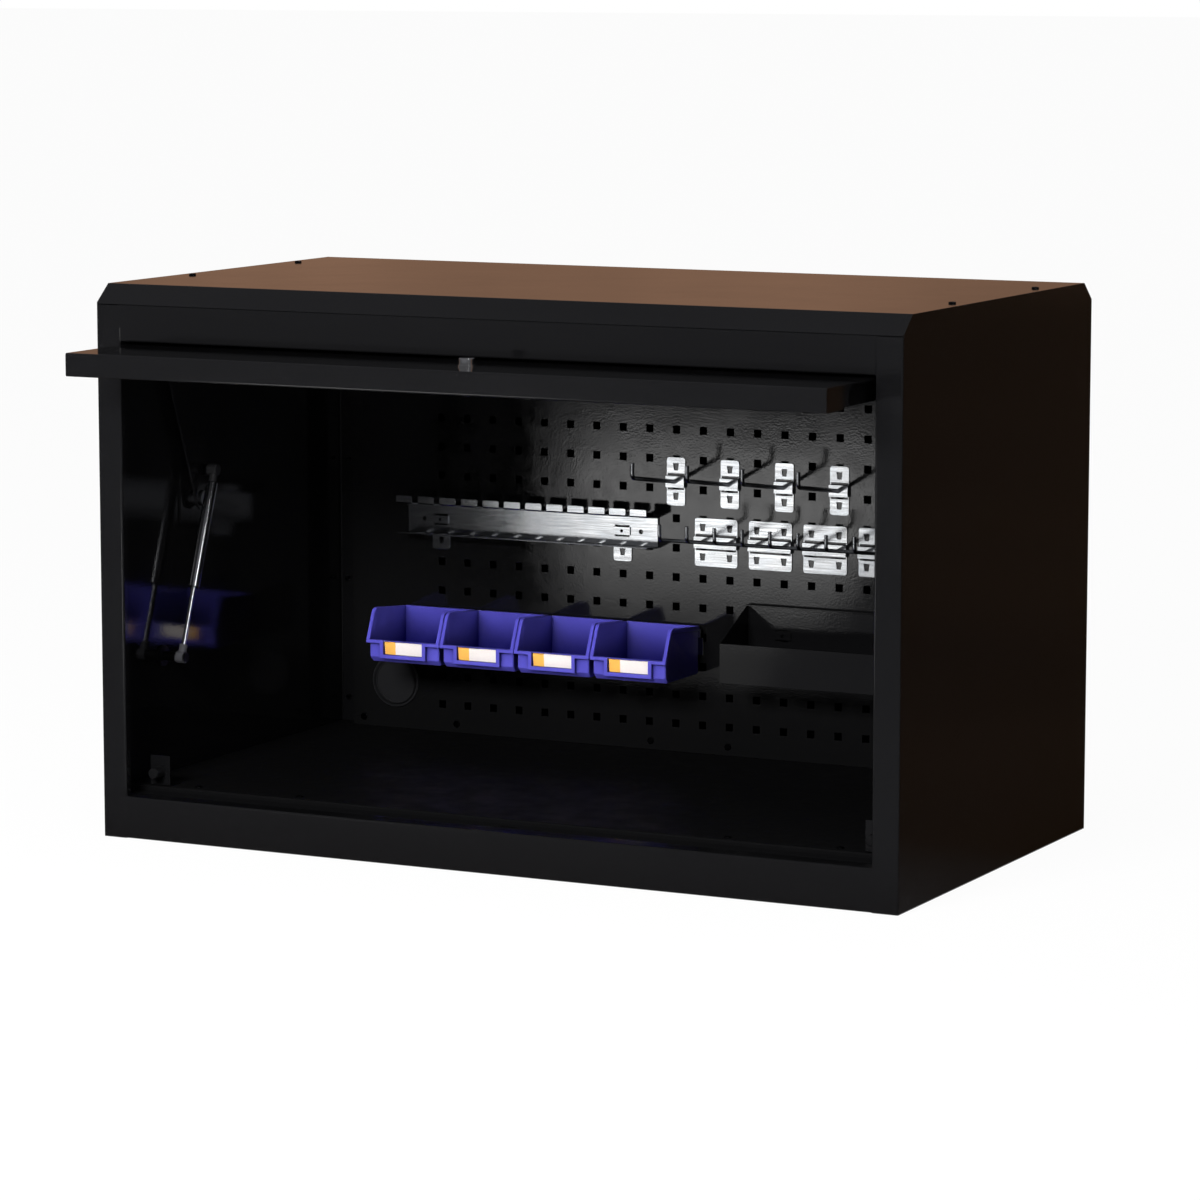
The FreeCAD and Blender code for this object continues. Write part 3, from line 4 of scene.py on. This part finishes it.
import bmesh
import bpy
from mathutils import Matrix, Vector


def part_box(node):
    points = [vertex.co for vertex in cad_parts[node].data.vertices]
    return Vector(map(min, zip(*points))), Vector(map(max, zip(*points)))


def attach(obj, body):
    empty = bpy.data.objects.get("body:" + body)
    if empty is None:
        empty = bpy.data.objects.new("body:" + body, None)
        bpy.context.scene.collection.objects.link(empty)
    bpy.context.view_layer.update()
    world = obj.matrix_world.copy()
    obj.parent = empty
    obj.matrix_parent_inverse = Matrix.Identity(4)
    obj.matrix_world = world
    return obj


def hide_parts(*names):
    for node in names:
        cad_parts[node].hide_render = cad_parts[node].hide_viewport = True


# Looks of the hutch cabinet: its finishes, its moulded and pressed details, the studio and the camera.
# Lengths are metres in the cabinet's own frame: X along the width, Y from front to back, Z up.
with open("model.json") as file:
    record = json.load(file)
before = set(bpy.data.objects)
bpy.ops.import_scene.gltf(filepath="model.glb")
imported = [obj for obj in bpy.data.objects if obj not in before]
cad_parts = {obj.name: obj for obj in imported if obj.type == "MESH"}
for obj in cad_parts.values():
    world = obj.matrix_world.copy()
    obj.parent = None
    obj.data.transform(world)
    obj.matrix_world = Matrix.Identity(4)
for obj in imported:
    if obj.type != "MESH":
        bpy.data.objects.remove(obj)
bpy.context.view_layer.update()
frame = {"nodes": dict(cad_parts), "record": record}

# Camera, fitted to the cabinet's outer corners in a square picture
PICTURE_SIDE = 1200
FOCAL_PIXELS = 4660.5
SENSOR = 36.0
CAMERA_PLACE = (2.5543, -4.7873, 1.0922)
CAMERA_YAW = 26.707
CAMERA_PITCH = 8.046
CAMERA_REACH = 200.0

# Modelling, with angles in degrees
TINY = 0.00005
MERGE_REACH = 0.00001
FLAT_ANGLE = 0.5
SHARP_ANGLE = 35.0
EDGE_ROUND = 0.0005

# Bins and their labels
BIN_COUNT = 4
BIN_RIM_WIDTH = 0.0044
BIN_LIP_HEIGHT = 0.0295
BIN_EDGE = 0.0004
RIM_RISE = 0.2
RIM_SIDEWAYS = 0.1
RIDGE_WIDTH = 0.0013
GROOVE_DEPTH = 0.0009
TINT_SHARE = 0.28
LABEL_TAPER = 0.96
LABEL_EDGE = 0.0002
COVER_THICK = 0.0012
COVER_TOP = 0.0016
COVER_UNDERCUT = COVER_TOP / 3
COVER_EDGE = 0.0003

# Weld beads and the grommet's ring
SEAM_WIDTH = 0.0026
SEAM_INWARD = 0.0005
SEAM_SET = 0.0003
SEAM_DEPTH = 0.002
SEAM_TAPER = 0.5
SEAM_EDGE = 0.0003
GROMMET_INSET = 0.003
GROMMET_RIM = 0.002
GROMMET_HEIGHT = 0.0004
GROMMET_EDGE = 0.00015
GROMMET_SIDES = 96

# Studio floor and world
FLOOR_HALF = 60.0
FLOOR_THICK = 0.02
FLOOR_PAPER = (0.95, 0.95, 0.95, 1)
FLOOR_WHITE = 0.96
WORLD_LIGHT = 0.2

# Room that the gloss paint reflects: its tones, and the stretches of Y and Z over which they change
ROOM_HALF = 8.0
ROOM_HEIGHT = 5.0
ROOM_LIFT = 0.001
ROOM_FRONT_TO_BACK = (-0.4, 0.4)
ROOM_LOW_TO_HIGH = (0.05, 0.5)
ROOM_WALL_TO_CEILING = (2.0, 4.0)
ROOM_FRONT_LOW = (0.14, 0.14, 0.15)
ROOM_BACK_LOW = (0.045, 0.025, 0.013)
ROOM_FRONT_HIGH = (0.12, 0.12, 0.125)
ROOM_BACK_HIGH = (0.30, 0.167, 0.105)
ROOM_CEILING = (0.14, 0.14, 0.15)
ROOM_PATCHES = (0.72, 1.08)

# Cards that only gloss shows
CARD_LIFT = 0.002
CARD_NEAR_Y = -0.35
CARD_FAR_Y = -3.4
CARD_NEAR_X = (-0.63, -0.25)
CARD_FAR_X = (-2.17, -1.35)
CARD_NEAR_GLOW = 0.35
CARD_FAR_GLOW = 2.9
CARD_FADE = (-1.75, -0.85)
STRUT_STRIP = ((2.5, -2.15, 1.3), (2.55, -1.75, 2.4))
STRUT_STRIP_GLOW = 9.0

# Lamps: name, place, aim, width, height and watts
SOFTBOXES = (
    ("front_softbox", (-0.1, -3.0, 1.75), (-0.1, 0.44, 0.19), 1.2, 0.7, 150),
    ("top_softbox", (0.4, -1.4, 4.2), (0.0, 0.2, 0.3), 3.0, 3.0, 60),
)


# Modelling helpers
def clear_selection():
    """Edit operators act on all that is selected, so everything is deselected first."""
    bpy.ops.object.select_all(action="DESELECT")


def settle(piece):
    """Puts a new object's place and size into its mesh."""
    clear_selection()
    piece.select_set(True)
    bpy.context.view_layer.objects.active = piece
    bpy.ops.object.transform_apply(location=True, rotation=True, scale=True)
    return piece


def edit(piece):
    """Edit mode on one piece, with all of it selected."""
    bpy.context.view_layer.objects.active = piece
    bpy.ops.object.mode_set(mode="EDIT")
    bpy.ops.mesh.select_all(action="SELECT")


def leave_edit():
    bpy.ops.object.mode_set(mode="OBJECT")


def pick(piece, wanted):
    """In edit mode, selects the vertices that a test by place wants."""
    mesh = bmesh.from_edit_mesh(piece.data)
    for vertex in mesh.verts:
        vertex.select_set(False)
    for vertex in mesh.verts:
        vertex.select_set(wanted(vertex))
    mesh.select_flush_mode()
    bmesh.update_edit_mesh(piece.data)


def pick_faces(piece, wanted):
    """In edit mode, selects the faces that a test by place or normal wants."""
    bpy.ops.mesh.select_mode(type="FACE")
    mesh = bmesh.from_edit_mesh(piece.data)
    for face in mesh.faces:
        face.select_set(False)
    for face in mesh.faces:
        face.select_set(wanted(face))
    bmesh.update_edit_mesh(piece.data)


def block(name, low, high):
    """A block between two corners, as a start for a piece."""
    clear_selection()
    low, high = Vector(low), Vector(high)
    bpy.ops.mesh.primitive_cube_add(size=1, location=(low + high) / 2)
    piece = bpy.context.object
    piece.name = name
    piece.scale = high - low
    return settle(piece)


def round_edges(piece, width):
    """Bevels a piece's sharp edges and shades what is left between them smooth."""
    angle = math.radians(SHARP_ANGLE)
    bpy.context.view_layer.objects.active = piece
    bevel = piece.modifiers.new("rounded_edges", "BEVEL")
    bevel.width = width
    bevel.segments = 2
    bevel.limit_method = "ANGLE"
    bevel.angle_limit = angle
    bpy.ops.object.modifier_apply(modifier=bevel.name)
    clear_selection()
    piece.select_set(True)
    bpy.ops.object.shade_smooth_by_angle(angle=angle)


def copy_at(piece, name, shift):
    """A copy with its own mesh, moved in its mesh."""
    twin = piece.copy()
    twin.data = piece.data.copy()
    twin.name = name
    bpy.context.scene.collection.objects.link(twin)
    twin.location = shift
    return settle(twin)


def dress(piece, *materials):
    piece.data.materials.clear()
    for material in materials:
        piece.data.materials.append(material)


# Shader helpers, in which the material may also be the world
def node(material, kind, **values):
    """A shader node with its input values set by name."""
    made = material.node_tree.nodes.new(kind)
    for name, value in values.items():
        made.inputs[name.replace("_", " ")].default_value = value
    return made


def join(material, source, target):
    material.node_tree.links.new(source, target)


def new_finish(name, colour, roughness, metallic=0.0):
    """A material with its constants on the shader's own sockets."""
    material = bpy.data.materials.new(name)
    material.use_nodes = True
    shader = material.node_tree.nodes["Principled BSDF"]
    shader.inputs["Base Color"].default_value = (*colour, 1)
    shader.inputs["Roughness"].default_value = roughness
    shader.inputs["Metallic"].default_value = metallic
    return material, shader


def grain(material, per_metre, detail=2.0, stretch=(1, 1, 1)):
    """Noise on the object's own coordinates, as many features to the metre as given."""
    place = node(material, "ShaderNodeTexCoord")
    mapping = node(material, "ShaderNodeMapping", Scale=stretch)
    noise = node(material, "ShaderNodeTexNoise", Scale=per_metre, Detail=detail)
    join(material, place.outputs["Object"], mapping.inputs["Vector"])
    join(material, mapping.outputs["Vector"], noise.inputs["Vector"])
    return noise.outputs["Fac"]


def spread(material, value, low, high, start=0.3, end=0.7):
    """A value between start and end spread over a range from low to high."""
    ranged = node(material, "ShaderNodeMapRange", From_Min=start, From_Max=end, To_Min=low, To_Max=high)
    join(material, value, ranged.inputs["Value"])
    return ranged.outputs["Result"]


def blend_colours(material, share, first, second, way="MIX"):
    """A colour that goes from one to another with a share. Each is a constant or another node's colour."""
    mixed = material.node_tree.nodes.new("ShaderNodeMix")
    mixed.data_type = "RGBA"
    mixed.blend_type = way
    for letter, colour in (("A", first), ("B", second)):
        if isinstance(colour, tuple):
            mixed.inputs[letter].default_value = (*colour, 1)
        else:
            join(material, colour, mixed.inputs[letter])
    if isinstance(share, float):
        mixed.inputs["Factor"].default_value = share
    else:
        join(material, share, mixed.inputs["Factor"])
    return mixed.outputs["Result"]


def uneven_sheen(material, shader, pattern, low, high):
    """Roughness that wanders with a pattern."""
    join(material, spread(material, pattern, low, high), shader.inputs["Roughness"])


def relief(material, shader, height, depth, strength=1.0):
    """Bump of a given depth in metres, laid over any bump that is there."""
    bump = node(material, "ShaderNodeBump", Strength=strength, Distance=depth)
    normal = shader.inputs["Normal"]
    if normal.is_linked:
        join(material, normal.links[0].from_socket, bump.inputs["Normal"])
    join(material, height, bump.inputs["Height"])
    join(material, bump.outputs["Normal"], normal)


def soft_edges(material, shader):
    """Rounds the sheet's sharp edges in the light, under any bump."""
    rounding = node(material, "ShaderNodeBevel", Radius=EDGE_ROUND)
    rounding.samples = 4
    first = shader.inputs["Normal"].links[0].from_node
    while first.inputs["Normal"].is_linked:
        first = first.inputs["Normal"].links[0].from_node
    join(material, rounding.outputs["Normal"], first.inputs["Normal"])


# Finishes
def black_paint():
    """Gloss powder coat: orange peel, slightly wavy sheet and faint dust in the sheen."""
    material, shader = new_finish("black_paint", (0.0042, 0.0042, 0.0046), 0.1)
    uneven_sheen(material, shader, grain(material, per_metre=9), low=0.05, high=0.1)
    relief(material, shader, grain(material, per_metre=14, detail=1), depth=0.0006, strength=0.35)
    relief(material, shader, grain(material, per_metre=420, detail=1), depth=0.00009, strength=0.5)
    soft_edges(material, shader)
    return material


def pegboard_paint():
    """Gloss coat with a heavier orange peel on the perforated sheet."""
    material, shader = new_finish("pegboard_paint", (0.0042, 0.0042, 0.0044), 0.12)
    uneven_sheen(material, shader, grain(material, per_metre=60), low=0.06, high=0.11)
    relief(material, shader, grain(material, per_metre=14, detail=1), depth=0.0006, strength=0.3)
    relief(material, shader, grain(material, per_metre=450, detail=1), depth=0.00008, strength=0.5)
    soft_edges(material, shader)
    return material


def floor_paint():
    """The same coat where work has dulled it, on the cabinet's floor."""
    material, shader = new_finish("floor_paint", (0.004, 0.004, 0.0043), 0.5)
    shader.inputs["Specular IOR Level"].default_value = 0.06
    uneven_sheen(material, shader, grain(material, per_metre=25, detail=3), low=0.42, high=0.6)
    relief(material, shader, grain(material, per_metre=420, detail=1), depth=0.00009, strength=0.4)
    return material


def zinc_plate():
    """Bright zinc on rolled sheet, with faint streaks."""
    dull_zinc = (0.70, 0.73, 0.76)
    bright_zinc = (0.79, 0.80, 0.81)
    material, shader = new_finish("zinc_plate", bright_zinc, 0.28, metallic=1.0)
    streaks = grain(material, per_metre=60, detail=3, stretch=(0.4, 6, 12))
    uneven_sheen(material, shader, streaks, low=0.16, high=0.26)
    cloud = spread(material, grain(material, per_metre=35, detail=3), 0, 1)
    colour = blend_colours(material, cloud, dull_zinc, bright_zinc)
    join(material, colour, shader.inputs["Base Color"])
    relief(material, shader, streaks, depth=0.00004, strength=0.12)
    soft_edges(material, shader)
    return material


def machined_steel(name, colour, roughness):
    """Turned or drawn metal with a fine tool grain."""
    material, shader = new_finish(name, colour, roughness, metallic=1.0)
    turned = grain(material, per_metre=900)
    uneven_sheen(material, shader, turned, low=roughness * 0.8, high=roughness * 1.3)
    relief(material, shader, turned, depth=0.00002, strength=0.3)
    return material


def moulded_plastic(name, colour, roughness):
    """Moulded plastic or rubber with a fine skin."""
    material, shader = new_finish(name, colour, roughness)
    skin = grain(material, per_metre=700)
    uneven_sheen(material, shader, skin, low=roughness * 0.85, high=roughness * 1.2)
    relief(material, shader, skin, depth=0.00004, strength=0.4)
    return material


def bin_plastic():
    """Blue polypropylene, with slight flow marks, and painted shade that darkens its hollows and insides by
    ambient occlusion.
    """
    material, shader = new_finish("bin_plastic", (0.1, 0.09, 0.55), 0.3)
    shader.inputs["Specular IOR Level"].default_value = 0.3
    flow = spread(material, grain(material, per_metre=28), 0, 1)
    blue = blend_colours(material, flow, (0.094, 0.084, 0.52), (0.106, 0.096, 0.58))
    # Painted shade: ambient occlusion pulls the base colour towards deep navy inside the bins and in their
    # hollows.
    painted_hollow_shade = node(material, "ShaderNodeAmbientOcclusion", Distance=0.09)
    painted_hollow_shade.only_local = True
    openness = spread(material, painted_hollow_shade.outputs["AO"], 0, 1, start=0.45, end=0.95)
    shade = blend_colours(material, openness, (0.012, 0.009, 0.1), (1, 1, 1))
    shaded_blue = blend_colours(material, 1.0, blue, shade, way="MULTIPLY")
    join(material, shaded_blue, shader.inputs["Base Color"])
    uneven_sheen(material, shader, grain(material, per_metre=160), low=0.3, high=0.36)
    relief(material, shader, grain(material, per_metre=600, detail=1), depth=0.00003, strength=0.4)
    return material


def label_card(name, colour):
    """Printed card with a faint fibre in it."""
    material, shader = new_finish(name, colour, 0.55)
    fibre = grain(material, per_metre=900, detail=3, stretch=(0.3, 1, 1))
    paler = tuple(min(1.0, part * 1.06) for part in colour)
    mottled = blend_colours(material, spread(material, fibre, 0, 1), colour, paler)
    join(material, mottled, shader.inputs["Base Color"])
    relief(material, shader, fibre, depth=0.00002, strength=0.3)
    return material


def clear_edge_plastic():
    """Milky edge of the clear strip over a label."""
    material, shader = new_finish("clear_edge_plastic", (0.62, 0.6, 0.66), 0.2)
    uneven_sheen(material, shader, grain(material, per_metre=300), low=0.15, high=0.3)
    return material


def make_finishes():
    """The finish for each material slot in the record."""
    return {
        "black_paint": black_paint(),
        "zinc_plate": zinc_plate(),
        "pivot_steel": machined_steel("pivot_steel", (0.55, 0.56, 0.58), 0.3),
        "black_screw": machined_steel("black_screw", (0.03, 0.03, 0.033), 0.35),
        "strut_tube_steel": machined_steel("strut_tube_steel", (0.62, 0.63, 0.65), 0.2),
        "strut_rod_chrome": machined_steel("strut_rod_chrome", (0.8, 0.81, 0.83), 0.12),
        "lock_chrome": machined_steel("lock_chrome", (0.78, 0.79, 0.8), 0.14),
        "socket_plastic": moulded_plastic("socket_plastic", (0.05, 0.05, 0.055), 0.45),
        "grommet_plastic": moulded_plastic("grommet_plastic", (0.012, 0.012, 0.013), 0.35),
        "bumper_rubber": moulded_plastic("bumper_rubber", (0.004, 0.004, 0.0045), 0.6),
        "bin_plastic": bin_plastic(),
        "label_card": label_card("label_card", (0.9, 0.83, 0.8)),
    }


def dress_cabinet():
    """Gives every piece of the cabinet its slot's finish, and a few pieces one of their own."""
    for part in frame["record"]["subparts"]:
        dress(frame["nodes"][part["node"]], finishes[part["material_slot"]])
    dress(frame["nodes"]["floor_panel"], floor_paint())
    dress(frame["nodes"]["pegboard"], pegboard_paint())
    for name in ("strut_feet", "arm_studs"):
        dress(frame["nodes"][name], finishes["black_screw"])
    for side in ("left", "right"):
        dress(frame["nodes"][f"strut_head_socket_{side}"], finishes["grommet_plastic"])


# Bins and their labels
def moulded_bin():
    """First bin, with the double ridge along its rims and rounded edges, on the shape of its solid."""
    low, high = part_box("bin_1")
    piece = bpy.data.objects.new("moulded_bin_1", frame["nodes"]["bin_1"].data.copy())
    bpy.context.scene.collection.objects.link(piece)
    settle(piece)
    edit(piece)
    bpy.ops.mesh.remove_doubles(threshold=MERGE_REACH)
    bpy.ops.mesh.dissolve_limited(angle_limit=math.radians(FLAT_ANGLE))
    left_rim = low.x + BIN_RIM_WIDTH + TINY
    right_rim = high.x - BIN_RIM_WIDTH - TINY
    rim_foot = low.z + BIN_LIP_HEIGHT + TINY

    def on_rim(face):
        on_left = all(corner.co.x < left_rim for corner in face.verts)
        on_right = all(corner.co.x > right_rim for corner in face.verts)
        faces_up = face.normal.z > RIM_RISE
        square_on = face.normal.y < RIM_SIDEWAYS and abs(face.normal.x) < RIM_SIDEWAYS
        return (on_left or on_right) and faces_up and square_on and face.calc_center_median().z > rim_foot

    pick_faces(piece, on_rim)
    bpy.ops.mesh.inset(thickness=RIDGE_WIDTH, depth=-GROOVE_DEPTH, use_even_offset=True)
    leave_edit()
    round_edges(piece, BIN_EDGE)
    return piece


def bin_label():
    """First bin's card: its left part is tinted, and it narrows a little to its foot."""
    low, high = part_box("bin_label_1")
    tint_end = low.x + (high.x - low.x) * TINT_SHARE
    foot_middle = ((low.x + high.x) / 2, low.y, low.z)
    piece = block("label_1", low, high)
    edit(piece)
    bpy.ops.mesh.bisect(plane_co=(tint_end, 0, 0), plane_no=(1, 0, 0))
    pick(piece, lambda corner: corner.co.z < low.z + TINY)
    bpy.ops.transform.resize(value=(LABEL_TAPER, 1, 1), center_override=foot_middle)
    leave_edit()
    round_edges(piece, LABEL_EDGE)
    return piece, tint_end


def tint_left(piece, end):
    """Gives the card's left part its second material."""
    for face in piece.data.polygons:
        face.material_index = int(face.center.x < end)


def cover_edge():
    """Milky upper edge of the clear strip that holds the first card."""
    low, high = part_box("bin_label_1")
    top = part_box("bin_1")[0].z + BIN_LIP_HEIGHT
    piece = block("cover_edge_1", (low.x, low.y - COVER_THICK, top - COVER_TOP), (high.x, high.y, top))
    edit(piece)
    pick(piece, lambda corner: corner.co.z < top - TINY and corner.co.y > low.y)
    bpy.ops.transform.translate(value=(0, 0, COVER_UNDERCUT))
    leave_edit()
    round_edges(piece, COVER_EDGE)
    return piece


def dress_bins():
    """The bins with their cards, each riding on its own body."""
    first_bin = moulded_bin()
    first_label, tint_end = bin_label()
    first_cover = cover_edge()
    tinted = label_card("label_tint", (0.96, 0.5, 0.1))
    milky = clear_edge_plastic()
    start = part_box("bin_1")[0]
    for number in range(1, BIN_COUNT + 1):
        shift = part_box(f"bin_{number}")[0] - start
        whole, label, cover = first_bin, first_label, first_cover
        if number > 1:
            whole = copy_at(first_bin, f"moulded_bin_{number}", shift)
            label = copy_at(first_label, f"label_{number}", shift)
            cover = copy_at(first_cover, f"cover_edge_{number}", shift)
        dress(whole, finishes["bin_plastic"])
        dress(label, finishes["label_card"], tinted)
        tint_left(label, tint_end + shift.x)
        dress(cover, milky)
        for piece, slot in ((whole, "bin_plastic"), (label, "label_card"), (cover, "label_card")):
            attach(piece, f"storage_bin_{number}")
        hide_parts(f"bin_{number}")
        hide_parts(f"bin_label_{number}")


# Details of the carcass
def seam_bead(name, end_x, outward, low, high):
    """One bead at the end of a cross sheet, narrower at its back."""
    first_x, last_x = sorted((end_x - outward * SEAM_INWARD, end_x + outward * SEAM_WIDTH))
    front = low.y + SEAM_SET
    foot = (first_x, front, low.z + SEAM_SET)
    head = (last_x, front + SEAM_DEPTH, high.z - SEAM_SET)
    bead = block(name, foot, head)
    edit(bead)
    pick(bead, lambda corner: corner.co.y > front + SEAM_DEPTH / 2)
    bpy.ops.transform.resize(value=(SEAM_TAPER, 1, 1), center_override=(end_x, low.y, low.z))
    leave_edit()
    round_edges(bead, SEAM_EDGE)
    return bead


def seam_beads():
    """Painted weld beads that close the corners between the stiles and the cross sheets."""
    for sheet in ("bottom_rail", "front_fascia"):
        low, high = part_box(sheet)
        for side, end_x, outward in (("left", low.x, -1), ("right", high.x, 1)):
            bead = seam_bead(f"seam_bead_{sheet}_{side}", end_x, outward, low, high)
            dress(bead, finishes["black_paint"])
            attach(bead, "carcass")


def grommet_ring():
    """Raised flat ring on the face of the blanking grommet."""
    low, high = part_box("cable_grommet")
    middle = (low + high) / 2
    radius = (high.x - low.x) / 2 - GROMMET_INSET
    back = (middle.x, low.y + GROMMET_HEIGHT, middle.z)
    facing_front = (math.pi / 2, 0, 0)
    clear_selection()
    bpy.ops.mesh.primitive_circle_add(vertices=GROMMET_SIDES, radius=radius, fill_type="NGON",
                                      location=back, rotation=facing_front)
    ring = settle(bpy.context.object)
    ring.name = "grommet_ring"
    edit(ring)
    bpy.ops.mesh.inset(thickness=GROMMET_RIM)
    bpy.ops.mesh.delete(type="FACE")
    bpy.ops.mesh.select_all(action="SELECT")
    bpy.ops.mesh.extrude_region_move(TRANSFORM_OT_translate={"value": (0, -GROMMET_HEIGHT, 0)})
    bpy.ops.mesh.select_all(action="SELECT")
    bpy.ops.mesh.normals_make_consistent(inside=False)
    leave_edit()
    round_edges(ring, GROMMET_EDGE)
    dress(ring, moulded_plastic("grommet_rim_plastic", (0.03, 0.03, 0.032), 0.3))
    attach(ring, "carcass")


# Studio
def seen_rays(material):
    """1 for rays that show a background: from the camera, from gloss and through glass."""
    path = node(material, "ShaderNodeLightPath")
    total = path.outputs["Is Camera Ray"]
    for other in ("Is Glossy Ray", "Is Transmission Ray"):
        larger = node(material, "ShaderNodeMath")
        larger.operation = "MAXIMUM"
        join(material, total, larger.inputs[0])
        join(material, path.outputs[other], larger.inputs[1])
        total = larger.outputs[0]
    return total


def stage_material(name):
    """An empty material, and the socket that takes its surface."""
    material = bpy.data.materials.new(name)
    material.use_nodes = True
    material.node_tree.nodes.clear()
    out = node(material, "ShaderNodeOutputMaterial")
    return material, out.inputs["Surface"]


def studio_floor():
    """Pale floor that keeps the cabinet's shadow."""
    floor = block("studio_floor", (-FLOOR_HALF, -FLOOR_HALF, -FLOOR_THICK), (FLOOR_HALF, FLOOR_HALF, 0))
    material, surface = stage_material("studio_floor")
    paper = node(material, "ShaderNodeBsdfDiffuse", Color=FLOOR_PAPER)
    white = node(material, "ShaderNodeEmission", Color=(1, 1, 1, 1), Strength=1.0)
    share = spread(material, seen_rays(material), 0, FLOOR_WHITE, start=0, end=1)
    mixed = node(material, "ShaderNodeMixShader")
    join(material, share, mixed.inputs["Fac"])
    join(material, paper.outputs["BSDF"], mixed.inputs[1])
    join(material, white.outputs["Emission"], mixed.inputs[2])
    join(material, mixed.outputs["Shader"], surface)
    dress(floor, material)


def glow(name, strength=1.0):
    """A stage material that only shines, and its shining node."""
    material, surface = stage_material(name)
    shine = node(material, "ShaderNodeEmission", Color=(1, 1, 1, 1), Strength=strength)
    join(material, shine.outputs["Emission"], surface)
    return material, shine


def object_place(material):
    """The X, Y and Z of a point in its object's own coordinates."""
    place = node(material, "ShaderNodeTexCoord")
    split = node(material, "ShaderNodeSeparateXYZ")
    join(material, place.outputs["Object"], split.inputs["Vector"])
    return split.outputs


def show_in_gloss_only(piece, material):
    """Dresses a card that stands out of sight, lights nothing and shows in reflections alone."""
    dress(piece, material)
    piece.visible_camera = False
    piece.visible_diffuse = False
    piece.visible_shadow = False


def reflection_room():
    """Dim brown room round the cabinet that its gloss paint reflects."""
    room = block("reflection_room", (-ROOM_HALF, -ROOM_HALF, ROOM_LIFT), (ROOM_HALF, ROOM_HALF, ROOM_HEIGHT))
    material, shine = glow("reflection_room")
    place = object_place(material)
    behind = spread(material, place["Y"], 0, 1, *ROOM_FRONT_TO_BACK)
    above = spread(material, place["Z"], 0, 1, *ROOM_LOW_TO_HIGH)
    overhead = spread(material, place["Z"], 0, 1, *ROOM_WALL_TO_CEILING)
    low = blend_colours(material, behind, ROOM_FRONT_LOW, ROOM_BACK_LOW)
    high = blend_colours(material, behind, ROOM_FRONT_HIGH, ROOM_BACK_HIGH)
    walls = blend_colours(material, above, low, high)
    whole = blend_colours(material, overhead, walls, ROOM_CEILING)
    patches = spread(material, grain(material, per_metre=0.9, detail=3), *ROOM_PATCHES)
    join(material, whole, shine.inputs["Color"])
    join(material, patches, shine.inputs["Strength"])
    show_in_gloss_only(room, material)


def white_card():
    """Bright strip of floor in front, which the perforated back and the zinc reflect past the stiles."""
    clear_selection()
    bpy.ops.mesh.primitive_plane_add(size=1, location=(0, 0, CARD_LIFT))
    card = settle(bpy.context.object)
    card.name = "white_card"
    edit(card)
    for edge_y, new_y, ends in ((-0.5, CARD_FAR_Y, CARD_FAR_X), (0.5, CARD_NEAR_Y, CARD_NEAR_X)):
        pick(card, lambda corner: abs(corner.co.y - edge_y) < TINY)
        bpy.ops.transform.resize(value=(ends[1] - ends[0], 1, 1))
        bpy.ops.transform.translate(value=(sum(ends) / 2, new_y - edge_y, 0))
    leave_edit()
    material, shine = glow("white_card")
    fade = spread(material, object_place(material)["Y"], CARD_FAR_GLOW, CARD_NEAR_GLOW, *CARD_FADE)
    join(material, fade, shine.inputs["Strength"])
    show_in_gloss_only(card, material)


def strut_strip():
    """Bright strip at the right front, mirrored as a thin line along the round struts."""
    strip = block("strut_strip", *STRUT_STRIP)
    show_in_gloss_only(strip, glow("strut_strip", STRUT_STRIP_GLOW)[0])


def softbox(name, place, aim, width, height, watts):
    """A soft lamp that neither the camera nor gloss sees."""
    data = bpy.data.lights.new(name, "AREA")
    data.shape = "RECTANGLE"
    data.size = width
    data.size_y = height
    data.energy = watts
    lamp = bpy.data.objects.new(name, data)
    bpy.context.scene.collection.objects.link(lamp)
    lamp.location = place
    lamp.rotation_euler = (Vector(aim) - Vector(place)).to_track_quat("-Z", "Y").to_euler()
    lamp.visible_camera = False
    lamp.visible_glossy = False


def studio_light():
    """Soft lamps, and a world that is white to look at and gives a little even light."""
    for lamp in SOFTBOXES:
        softbox(*lamp)
    world = bpy.data.worlds.new("studio")
    bpy.context.scene.world = world
    world.use_nodes = True
    background = world.node_tree.nodes["Background"]
    background.inputs["Color"].default_value = (1, 1, 1, 1)
    level = spread(world, seen_rays(world), WORLD_LIGHT, 1.0, start=0, end=1)
    join(world, level, background.inputs["Strength"])


def photo_camera():
    data = bpy.data.cameras.new("photo_camera")
    data.sensor_width = SENSOR
    data.lens = SENSOR * FOCAL_PIXELS / PICTURE_SIDE
    data.clip_end = CAMERA_REACH
    camera = bpy.data.objects.new("photo_camera", data)
    bpy.context.scene.collection.objects.link(camera)
    camera.location = CAMERA_PLACE
    camera.rotation_euler = (math.radians(90 - CAMERA_PITCH), 0, math.radians(CAMERA_YAW))
    bpy.context.scene.camera = camera


finishes = make_finishes()
dress_cabinet()
dress_bins()
seam_beads()
grommet_ring()
studio_floor()
reflection_room()
white_card()
strut_strip()
studio_light()
photo_camera()
bpy.context.scene.view_settings.view_transform = "Standard"
